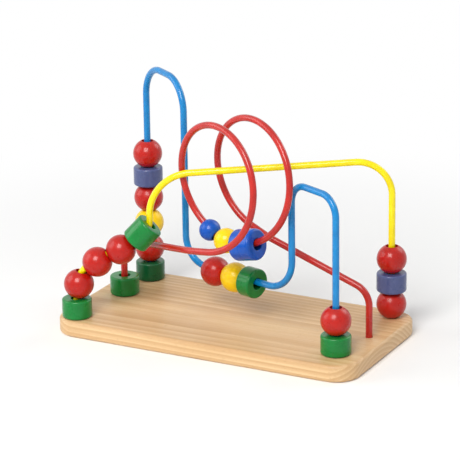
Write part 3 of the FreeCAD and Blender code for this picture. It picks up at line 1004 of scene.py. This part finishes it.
@dataclass
class Board:
    """The wooden board, with a socket and a counterbored hole for each wire end."""

    corner_radius: float = 22 * MM
    edge_radius: float = 3 * MM
    flat_margin: float = 1.2 * MM
    socket_radius: float = 3.1 * MM
    socket_depth: float = 5 * MM
    spigot_hole_radius: float = 2.4 * MM
    counterbore_radius: float = 7 * MM
    counterbore_depth: float = 6 * MM
    eased: float = 0.35 * MM
    corner_points: int = 28
    side_points: int = 24
    edge_points: int = 9
    hole_points: int = 48
    half: Array = field(init=False)
    thickness: float = field(init=False)

    def __post_init__(self) -> None:
        """Reads the board's outer sizes from the frame."""
        low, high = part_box("base_board")
        self.half = np.array([high.x - low.x, high.y - low.y]) / 2
        self.thickness = high.z

    def place(self, leg: Leg, height: float) -> Array:
        """The point of a leg at a height above the board."""
        return np.array([leg.value[0] * self.half[0], leg.value[1] * self.half[1], self.thickness + height])

    def outline(self, inset: float) -> Array:
        """The rounded rectangle at an inset: corner centre + (radius - inset)(cos a, sin a), and straight sides.

        Args:
            inset: How far inside the board's edge the outline lies.

        Returns:
            The outline's points, counter-clockwise.
        """
        corners = []
        for quarter, signs in enumerate([(1, 1), (-1, 1), (-1, -1), (1, -1)]):
            centre = np.array(signs) * (self.half - self.corner_radius)
            angles = np.linspace(0.0, QUARTER_TURN, self.corner_points) + quarter * QUARTER_TURN
            corners.append(centre + arc(self.corner_radius - inset, angles))
        share = np.linspace(0.0, 1.0, self.side_points, endpoint=False)[1:, None]
        return np.concatenate([stretch for corner, after in zip(corners, corners[1:] + corners[:1])
                               for stretch in (corner, corner[-1] * (1 - share) + after[0] * share)])

    def rim(self) -> tuple[Array, Array]:
        """The board's side: the outline carried down a profile with a rounded edge above and below.

        Returns:
            The surface's points, rows from the top inwards to the underside, and how near an edge each point is.
        """
        turn = np.linspace(0.0, QUARTER_TURN, self.edge_points)
        upper_inset = self.edge_radius * (1 - np.sin(turn))
        upper_height = self.thickness - self.edge_radius * (1 - np.cos(turn))
        flat = self.edge_radius + self.flat_margin
        insets = np.concatenate([[flat], upper_inset, upper_inset[::-1], [flat]])
        heights = np.concatenate([[self.thickness], upper_height, self.thickness - upper_height[::-1], [0.0]])
        rows = np.stack([np.pad(self.outline(inset), ((0, 0), (0, 1)), constant_values=height)
                         for inset, height in zip(insets, heights)])
        bulge = np.sin(2 * turn)
        edge = np.concatenate([[0.0], bulge, bulge[::-1], [0.0]])
        return rows, np.repeat(edge, rows.shape[1])

    def hole_profile(self) -> Array:
        """A hole's section, from the counterbore's mouth up to the socket's eased mouth.

        Returns:
            Radius, height, and how near an edge it is, in each row.
        """
        floor = self.thickness - self.socket_depth
        return np.array([
            (self.counterbore_radius + self.eased, 0.0, 1.0),
            (self.counterbore_radius, self.eased, 0.6),
            (self.counterbore_radius, self.counterbore_depth, 0.0),
            (self.spigot_hole_radius, self.counterbore_depth, 0.0),
            (self.spigot_hole_radius, floor, 0.0),
            (self.socket_radius, floor, 0.0),
            (self.socket_radius, self.thickness - self.eased, 0.6),
            (self.socket_radius + self.eased, self.thickness, 1.0),
        ])

    def build(self) -> Piece:
        """Makes the board: its rim, its holes, and flat faces between the rim and the holes' mouths.

        Returns:
            The object.
        """
        shell = Shell()
        rim, edge = self.rim()
        shell.add_grid(rim, edge=edge)
        profile = self.hole_profile()
        turned = turn_outline(profile[:, :2], self.hole_points)
        holes = [turned + self.place(leg, -self.thickness) for leg in FEET]
        for hole in holes:
            shell.add_grid(hole, edge=np.repeat(profile[:, 2], self.hole_points))
        for loops in ([rim[0], *(hole[-1] for hole in holes)], [rim[-1], *(hole[0] for hole in holes)]):
            points = np.concatenate(loops)
            triangles = tessellate_polygon([[Vector(point) for point in loop] for loop in loops])
            shell.add(points, np.array(triangles), edge=np.zeros(len(points)))
        return dress(shell.build("maze_board"), BareBoard(), ROOT_BODY, "base_board")


@dataclass
class Wires:
    """The three bent wires: their routes, their coatings and their threaded ends."""

    board: Board
    radius: float = 3 * MM
    sides: int = 36
    ring_spacing: float = 1.1 * MM
    end_ease: tuple[float, ...] = (0.0, 0.1 * MM, 0.25 * MM)
    end_rings: int = 6
    end_wear: float = 0.5
    stud_radius: float = 2.3 * MM
    stud_recess: float = 0.8 * MM
    stud_bevel: float = 0.7 * MM
    stud_rings: int = 116
    stud_sides: int = 40
    thread_pitch: float = 0.8 * MM
    thread_depth: float = 0.28 * MM
    tall_arch: tuple[float, float] = (203 * MM, 28 * MM)
    low_run: tuple[float, float, float] = (38.5 * MM, 24 * MM, 28 * MM)
    low_arch: tuple[float, float] = (137.5 * MM, 18 * MM)
    slope_foot: tuple[float, float] = (42 * MM, 30 * MM)
    slope_top: tuple[float, float] = (80 * MM, 20 * MM)
    shoulder: tuple[float, float] = (130.9 * MM, 38 * MM)
    far_shoulder: tuple[float, float] = (144 * MM, 30 * MM)
    red_rise: tuple[float, float] = (51 * MM, 16 * MM)
    red_drop: tuple[float, float] = (41 * MM, 18 * MM)
    loop_radius: float = 53.7 * MM
    loop_height: float = 131.5 * MM
    loop_azimuth: float = math.radians(72.4)
    loop_drift: tuple[float, float] = (17.6 * MM, 33 * MM)
    loop_angles: tuple[float, float] = (math.radians(8), math.radians(698))
    loop_points: int = 900
    loop_lead: float = 18 * MM
    lead_radius: float = 50 * MM

    def corners(self, *places: tuple[Leg, float]) -> list[Array]:
        """The points of some legs at heights above the board."""
        return [self.board.place(leg, height) for leg, height in places]

    def loop(self) -> tuple[Array, Array]:
        """The double loop: centre + drift * a / full turn + radius (right * sin a - up * cos a), a from the bottom.

        Returns:
            The points, and the unit directions of travel.
        """
        right = np.array([math.sin(self.loop_azimuth), -math.cos(self.loop_azimuth), 0.0])
        up = np.array([0.0, 0.0, 1.0])
        drift = np.array([*self.loop_drift, 0.0]) / FULL_TURN
        a = np.linspace(*self.loop_angles, self.loop_points)[:, None]
        centre = self.board.place(Leg.LOOP, self.loop_height)
        points = centre + drift * a + self.loop_radius * (right * np.sin(a) - up * np.cos(a))
        return points, unit(drift + self.loop_radius * (right * np.cos(a) + up * np.sin(a)))

    def blue_route(self) -> Route:
        """Up the tall arch, down to the low run, along it, over the low arch and down.

        Returns:
            The wire's centre line.
        """
        sink, (top, top_bend), (low, *low_bends) = -self.board.socket_depth, self.tall_arch, self.low_run
        arch, arch_bend = self.low_arch
        corners = self.corners(
            (Leg.BLUE_LEFT, sink), (Leg.BLUE_LEFT, top), (Leg.BLUE_INNER, top), (Leg.BLUE_INNER, low),
            (Leg.BLUE_LOW, low), (Leg.BLUE_LOW, arch), (Leg.BLUE_RIGHT, arch), (Leg.BLUE_RIGHT, sink))
        return Route(rounded(corners, [top_bend, top_bend, *low_bends, arch_bend, arch_bend]))

    def red_route(self) -> Route:
        """Up and along to the loops, round them, and down a slanting tail to the far foot.

        Returns:
            The wire's centre line.
        """
        sink, (rise, rise_bend), (drop, drop_bend) = -self.board.socket_depth, self.red_rise, self.red_drop
        loop, travel = self.loop()
        before, after = loop[0] - travel[0] * self.loop_lead, loop[-1] + travel[-1] * self.loop_lead
        lead = self.corners((Leg.RED_LEFT, sink), (Leg.RED_LEFT, rise)) + [before, loop[0]]
        tail = [loop[-1], after] + self.corners((Leg.RED_RIGHT, drop), (Leg.RED_RIGHT, sink))
        lead_line = rounded(lead, [rise_bend, self.lead_radius])
        tail_line = rounded(tail, [self.lead_radius, drop_bend])
        return Route(np.concatenate([lead_line, loop[1:], tail_line[1:]]))

    def yellow_route(self) -> Route:
        """Up a slope, up to the shoulder, and along the top run, which goes through both loops.

        Returns:
            The wire's centre line.
        """
        sink = -self.board.socket_depth
        turns = (self.slope_foot, self.slope_top, self.shoulder, self.far_shoulder)
        legs = (Leg.YELLOW_LEFT, Leg.YELLOW_INNER, Leg.YELLOW_INNER, Leg.YELLOW_RIGHT)
        corners = self.corners((legs[0], sink), *((leg, turn[0]) for leg, turn in zip(legs, turns)), (legs[-1], sink))
        return Route(rounded(corners, [turn[1] for turn in turns]))

    def build_coating(self, wire: Wire, route: Route) -> Piece:
        """Makes a wire's coated length, whose ends are eased inside their sockets.

        Args:
            wire: The wire.
            route: Its centre line.

        Returns:
            The object.
        """
        points = resample(route.points, self.ring_spacing)
        radii = np.full(len(points), self.radius)
        eased = len(self.end_ease)
        radii[:eased] -= self.end_ease[::-1]
        radii[-eased:] -= self.end_ease
        surface, straight = carry_circle(points, radii, np.array(wire.aside), self.sides)
        edge = np.zeros(surface.shape[:2])
        edge[:self.end_rings] = edge[-self.end_rings:] = self.end_wear
        shell = Shell()
        shell.add_tube(surface, (points[0], points[-1]), grain_space=straight, edge=edge)
        return dress(shell.build(f"{wire.node}_coated"), wire.skin.value, ROOT_BODY, wire.node)

    def build_studs(self, wire: Wire) -> Piece:
        """Makes the threaded ends: radius less the depth of a triangle wave in height / pitch - a / full turn.

        Args:
            wire: The wire, under whose two feet the ends stand.

        Returns:
            The object.
        """
        low, high = self.stud_recess, self.board.thickness - self.board.socket_depth
        heights = np.linspace(low, high, self.stud_rings)[:, None]
        angles = circle(self.stud_sides)
        ridge = np.abs((heights / self.thread_pitch - angles / FULL_TURN) % 1.0 * 2 - 1)
        bevel = np.clip(heights - low, 0.0, self.stud_bevel) - self.stud_bevel
        radius = np.minimum(self.stud_radius - self.thread_depth * ridge, self.stud_radius + bevel)
        shell = Shell()
        for leg in wire.feet:
            foot = self.board.place(leg, -self.board.thickness)
            ends = foot + np.array([0.0, 0.0, low]), foot + np.array([0.0, 0.0, high])
            shell.add_tube(around(radius, angles, heights) + foot, ends, edge=1 - ridge)
        return dress(shell.build(f"{wire.node}_studs"), ZincSteel(), ROOT_BODY)


@dataclass
class Fixings:
    """The washers and nuts under the board."""

    board: Board
    washer_radius: float = 6 * MM
    washer_thickness: float = 1 * MM
    washer_points: int = 64
    hole_radius: float = 2.4 * MM
    nut_half_width: float = 4 * MM
    nut_height: float = 3.8 * MM
    nut_chamfer: float = math.radians(30)
    nut_face_share: float = 0.94
    nut_half_facet: float = math.pi / 6
    nut_spacing: float = 0.3 * MM
    nut_edge_width: float = 0.6 * MM
    eased: float = 0.25 * MM
    sides: int = 96

    def nut_outline(self) -> Array:
        """Radius and height round a nut's section, with its bevelled lower corners still round.

        Returns:
            One corner of the section to a row.
        """
        corner = self.nut_half_width / math.cos(self.nut_half_facet)
        face = self.nut_half_width * self.nut_face_share
        bevel = (corner - face) * math.tan(self.nut_chamfer)
        mouth = self.hole_radius + self.eased
        return np.array([
            (self.hole_radius, self.eased), (self.hole_radius, self.nut_height - self.eased),
            (mouth, self.nut_height), (corner, self.nut_height), (corner, bevel), (face, 0.0), (mouth, 0.0),
        ])

    def build_nuts(self) -> Piece:
        """Makes the nuts: a turned outline whose radius is held inside the hexagon w / cos(a mod 60 degrees).

        Returns:
            The object.
        """
        closed = np.concatenate([self.nut_outline(), self.nut_outline()[:1]])
        outline = resample(closed, self.nut_spacing)[:-1]
        angles, half = circle(self.sides), self.nut_half_facet
        hexagon = self.nut_half_width / np.cos((angles + half) % (2 * half) - half)
        radius = np.minimum(outline[:, :1], hexagon)
        edge = np.clip((radius - self.nut_half_width) / self.nut_edge_width, 0.0, 1.0)
        height = self.board.counterbore_depth - self.washer_thickness - self.nut_height
        return self.repeat(around(radius, angles, outline[:, 1:]), edge, height, "fixing_nuts", "wire_nuts")

    def build_washers(self) -> Piece:
        """Makes the washers: a turned flat ring with eased rims.

        Returns:
            The object.
        """
        inner, outer, thick = self.hole_radius, self.washer_radius, self.washer_thickness
        section = np.array([(inner, 0.0), (inner, thick), (outer, thick), (outer, 0.0)])
        outline = soften_outline(section, self.eased, self.washer_points)
        washer = turn_outline(outline, self.sides)
        edge = np.repeat((outline[:, 0] > outer - self.eased) * 1.0, self.sides)
        return self.repeat(washer, edge, self.board.counterbore_depth - thick, "fixing_washers", "wire_washers")

    def repeat(self, surface: Array, edge: Array, height: float, name: str, node: str) -> Piece:
        """Puts a copy of a ring-shaped surface under every foot, as one object.

        Args:
            surface: The fixing's points, as a grid that closes both ways.
            edge: How near an edge each point is.
            height: The height of its lower face.
            name: The object's name.
            node: The solid that it stands for.

        Returns:
            The object.
        """
        shell = Shell()
        for leg in FEET:
            foot = self.board.place(leg, height - self.board.thickness)
            shell.add_grid(surface + foot, wrap_rows=True, edge=edge)
        return dress(shell.build(name), ZincSteel(), ROOT_BODY, node)


class Form(Enum):
    """The turned forms of the beads."""

    BALL = "ball"
    CYLINDER = "cylinder"


@dataclass(frozen=True)
class Bead:
    """One bead: the solid that it stands for, its form and its paint."""

    node: str
    form: Form
    paint: Paint
    diameter: float = 26.5 * MM
    length: float = 17 * MM
    edge_radius: float = 1.6 * MM


@dataclass
class Beads:
    """All the turned beads, each on its wire."""

    routes: list[Route]
    bore_radius: float = 5.25 * MM
    bore_ease: float = 1.1 * MM
    bore_skin: float = 0.25 * MM
    rim_from: float = 0.4
    rim_reach: float = 0.8
    outline_points: int = 112
    ball_points: int = 160
    edge_points: int = 14
    sides: int = 96
    sharp_angle: float = math.radians(60)
    seed: int = 7

    def outline(self, bead: Bead) -> Array:
        """The bead's section, softened: radius and height in each row, closed along the bore.

        A ball's section is radius (cos a, sin a) between the rims of the bore, and a cylinder's is a rectangle whose
        outer corners are arcs.

        Args:
            bead: The bead.

        Returns:
            The section.
        """
        half, radius, edge = bead.length / 2, bead.diameter / 2, bead.edge_radius
        if bead.form is Form.BALL:
            rim = math.acos(self.bore_radius / radius)
            section = arc(radius, np.linspace(-rim, rim, self.ball_points))
        else:
            turn = np.linspace(0.0, QUARTER_TURN, self.edge_points)
            upper = np.array([radius - edge, half - edge]) + arc(edge, turn)
            lower = upper[::-1] * np.array([1.0, -1.0])
            section = np.concatenate([lower, upper, [(self.bore_radius, half), (self.bore_radius, -half)]])
        return soften_outline(section, self.bore_ease, self.outline_points)

    def edge_values(self, bead: Bead, outline: Array) -> tuple[Array, Array]:
        """How near each point of a section is to a rim that wears, and to the inside of the bore.

        Args:
            bead: The bead.
            outline: Its section, radius and height in each row.

        Returns:
            The two values, from zero to one.
        """
        radius, height = outline[:, 0], np.abs(outline[:, 1])
        inside = np.clip(1 - (radius - self.bore_radius) / self.bore_skin, 0.0, 1.0)
        mouth = np.clip(1 - (radius - self.bore_radius) / self.bore_ease, 0.0, 1.0) * (1 - inside)
        if bead.form is Form.BALL:
            return mouth, inside
        corner = np.hypot(bead.diameter / 2 - radius, bead.length / 2 - height) - self.rim_from * bead.edge_radius
        rim = np.clip(1 - corner / (self.rim_reach * bead.edge_radius), 0.0, 1.0)
        return np.maximum(mouth, rim), inside

    def build(self, bead: Bead, index: int) -> Piece:
        """Makes a bead where its solid is, with its bore along the wire that passes nearest to its centre.

        Args:
            bead: The bead.
            index: Its place in the list, which sets its own grain and tone.

        Returns:
            The object.
        """
        low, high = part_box(bead.node)
        centre = (np.array(low) + np.array(high)) / 2
        route = min(self.routes, key=lambda route: route.gap(centre).min())
        outline = self.outline(bead)
        local = turn_outline(outline, self.sides)
        draw = np.random.default_rng(self.seed + index)
        offset = draw.uniform(-0.5, 0.5, 3)
        tone = np.full(local.shape[:2], draw.uniform(0.0, 1.0))
        edge, inside = (np.repeat(value, self.sides) for value in self.edge_values(bead, outline))
        surface = stand_along(local, centre, route.chord(centre, np.ptp(outline[:, 1])))
        shell = Shell()
        # bore is how far a point lies inside the bore, where the lacquer gets painted shade
        shell.add_grid(surface, wrap_rows=True, grain_space=local + offset, edge=edge, bore=inside, tone=tone)
        piece = shell.build(f"{bead.node}_turned", sharp_angle=self.sharp_angle)
        return dress(piece, bead.paint.value, bead.node, bead.node)


BEADS = (
    Bead("blue_stack_green_cylinder", Form.CYLINDER, Paint.DARK_GREEN),
    Bead("blue_stack_lower_red_ball", Form.BALL, Paint.RED),
    Bead("blue_stack_yellow_ball", Form.BALL, Paint.YELLOW),
    Bead("blue_stack_middle_red_ball", Form.BALL, Paint.RED),
    Bead("blue_stack_lilac_cylinder", Form.CYLINDER, Paint.LILAC),
    Bead("blue_stack_top_red_ball", Form.BALL, Paint.RED),
    Bead("low_run_red_ball", Form.BALL, Paint.RED),
    Bead("low_run_yellow_ball", Form.BALL, Paint.YELLOW),
    Bead("low_run_green_disc", Form.CYLINDER, Paint.GREEN, length=14.5 * MM),
    Bead("front_foot_green_cylinder", Form.CYLINDER, Paint.GREEN),
    Bead("front_foot_red_ball", Form.BALL, Paint.RED),
    Bead("red_foot_green_cylinder", Form.CYLINDER, Paint.GREEN),
    Bead("slope_foot_green_cylinder", Form.CYLINDER, Paint.GREEN),
    Bead("slope_lower_red_ball", Form.BALL, Paint.RED),
    Bead("slope_middle_red_ball", Form.BALL, Paint.RED),
    Bead("slope_upper_red_ball", Form.BALL, Paint.RED),
    Bead("slope_green_barrel", Form.CYLINDER, Paint.GREEN, 25 * MM, 22 * MM),
    Bead("back_foot_red_ball", Form.BALL, Paint.RED),
    Bead("back_foot_lilac_cylinder", Form.CYLINDER, Paint.LILAC),
    Bead("back_foot_upper_red_ball", Form.BALL, Paint.RED),
    Bead("loop_blue_spool", Form.CYLINDER, Paint.BLUE, 27.5 * MM, 23 * MM, 2.6 * MM),
    Bead("loop_yellow_ball", Form.BALL, Paint.YELLOW, 22 * MM),
    Bead("loop_blue_ball", Form.BALL, Paint.BLUE, 19 * MM),
)


# the studio

@dataclass(frozen=True)
class Lamp:
    """A square soft lamp: its name, place, side, power and linear colour."""

    name: str
    place: tuple[float, float, float]
    size: float
    power: float
    colour: Linear


@dataclass
class Studio:
    """A pale floor, soft lamps, and the camera at the photograph's place."""

    azimuth: float = math.radians(27.651)
    elevation: float = math.radians(18.34)
    roll: float = math.radians(-0.814)
    place: tuple[float, float, float] = (0.9667, -1.8528, 0.7876)
    focal_share: float = 2524.3 / 460
    sensor: float = 36.0
    floor_half: float = 7.0
    floor_colour: Colour = (248, 248, 247)
    floor_shade: Colour = (245, 245, 244)
    room_strength: float = 0.3
    room_tint: Linear = (0.97, 0.98, 1.0, 1.0)
    white: Linear = (1.0, 1.0, 1.0, 1.0)
    white_from: float = 0.2
    white_at: float = 0.6
    lamp_aim: tuple[float, float, float] = (0.0, 0.0, 0.09)
    lamps: tuple[Lamp, ...] = (
        Lamp("key_lamp", (0.2, -1.5, 1.5), 1.0, 38.0, (1.0, 0.99, 0.975)),
        Lamp("fill_lamp", (-1.5, -0.7, 0.9), 1.2, 11.0, (0.97, 0.985, 1.0)),
        Lamp("back_lamp", (0.9, 1.4, 1.2), 1.0, 9.0, (1.0, 1.0, 1.0)),
    )

    def build_floor(self) -> None:
        """Lays the floor and gives it its paper finish."""
        shell = Shell()
        span = np.linspace(-self.floor_half, self.floor_half, 2)
        x, y = np.meshgrid(span, span, indexing="ij")
        shell.add_grid(np.stack([x, y, np.zeros_like(x)], axis=-1), wrap_columns=False)
        floor = shell.build("studio_floor", mend=False)
        material, wiring, principled = new_material("studio_paper")
        place = wiring.object_place()
        clouds = wiring.spread(wiring.noise(place, 2.0, 2.0), 0.3, 0.7, 0.0, 0.5)
        tint = wiring.coats(self.floor_colour, (clouds, self.floor_shade))
        wiring.fill(principled, {"Base Color": tint, "Roughness": 0.75})
        self.whiten(wiring, principled, place)
        floor.data.materials.append(material)

    def seen(self, wiring: Wiring) -> Socket:
        """One where a ray comes from the camera or by a reflection or through glass, and zero for plain light.

        Args:
            wiring: The material's or the world's wiring.

        Returns:
            The value.
        """
        ray = wiring.node("ShaderNodeLightPath").outputs
        mirrored = wiring.plus(ray["Is Glossy Ray"], ray["Is Transmission Ray"])
        return wiring.plus(ray["Is Camera Ray"], mirrored, clamp=True)

    def whiten(self, wiring: Wiring, principled: bpy.types.Node, place: Socket) -> None:
        """Makes the far floor plain white to the eye and in reflections, without adding light.

        Args:
            wiring: The floor's wiring.
            principled: The shader that shows the maze's shadow near by.
            place: Where a point of the floor lies.
        """
        distance = wiring.node("ShaderNodeVectorMath", {0: place}, operation="LENGTH").outputs["Value"]
        far = wiring.times(wiring.spread(distance, self.white_from, self.white_at), self.seen(wiring))
        white = wiring.node("ShaderNodeEmission", {"Color": self.white, "Strength": 1.0})
        mixed = wiring.node("ShaderNodeMixShader", {0: far, 1: principled.outputs[0], 2: white.outputs[0]})
        output = next(node for node in wiring.tree.nodes if node.type == "OUTPUT_MATERIAL")
        wiring.fill(output, {"Surface": mixed.outputs[0]})

    def build_lamp(self, lamp: Lamp) -> None:
        """Hangs a lamp that faces the middle of the maze.

        Args:
            lamp: The lamp.
        """
        light = bpy.data.lights.new(lamp.name, "AREA")
        light.shape, light.size, light.energy, light.color = "SQUARE", lamp.size, lamp.power, lamp.colour
        place = Vector(lamp.place)
        turn = (Vector(self.lamp_aim) - place).to_track_quat("-Z", "Y").to_matrix().to_4x4()
        holder = bpy.data.objects.new(lamp.name, light)
        holder.matrix_world = Matrix.Translation(place) @ turn
        bpy.context.scene.collection.objects.link(holder)

    def build_world(self) -> None:
        """Fills the room with soft, nearly white light, and shows it plain white to the eye and in reflections."""
        world = bpy.data.worlds.new("studio_room")
        world.use_nodes = True
        wiring = Wiring(world.node_tree)
        seen = self.seen(wiring)
        wiring.fill(world.node_tree.nodes["Background"], {
            "Color": wiring.mix(seen, self.room_tint, self.white),
            "Strength": wiring.spread(seen, 0.0, 1.0, self.room_strength, 1.0),
        })
        bpy.context.scene.world = world

    def build_camera(self) -> None:
        """Sets the camera: it looks along its azimuth and elevation, and is turned by the roll about that line."""
        cos_az, sin_az = math.cos(self.azimuth), math.sin(self.azimuth)
        cos_el, sin_el = math.cos(self.elevation), math.sin(self.elevation)
        level_right = Vector((cos_az, sin_az, 0.0))
        forward = Vector((-sin_az * cos_el, cos_az * cos_el, -sin_el))
        level_up = level_right.cross(forward)
        right = level_right * math.cos(self.roll) + level_up * math.sin(self.roll)
        up = right.cross(forward)
        turn = Matrix((right, up, -forward)).transposed().to_4x4()
        data = bpy.data.cameras.new("photograph_view")
        data.sensor_width = self.sensor
        data.lens = self.focal_share * self.sensor
        camera = bpy.data.objects.new("photograph_view", data)
        camera.matrix_world = Matrix.Translation(Vector(self.place)) @ turn
        bpy.context.scene.collection.objects.link(camera)
        bpy.context.scene.camera = camera

    def build(self) -> None:
        """Sets the whole studio."""
        bpy.context.scene.view_settings.view_transform = "Standard"
        self.build_floor()
        self.build_world()
        for lamp in self.lamps:
            self.build_lamp(lamp)
        self.build_camera()


def report(piece: Piece) -> None:
    """Logs a finished piece and its count of faces."""
    LOG.info("%s: %d faces", piece.name, len(piece.data.polygons))


def main() -> None:
    """Builds the board, the wires, their fixings and the beads, and sets the studio."""
    logging.basicConfig(level=logging.INFO)
    board = Board()
    report(board.build())
    wires = Wires(board)
    routes = [wires.blue_route(), wires.red_route(), wires.yellow_route()]
    for wire, route in zip(WIRES, routes):
        report(wires.build_coating(wire, route))
        report(wires.build_studs(wire))
    fixings = Fixings(board)
    report(fixings.build_washers())
    report(fixings.build_nuts())
    beads = Beads(routes)
    for index, bead in enumerate(BEADS):
        report(beads.build(bead, index))
    Studio().build()


if __name__ == "__main__":
    main()
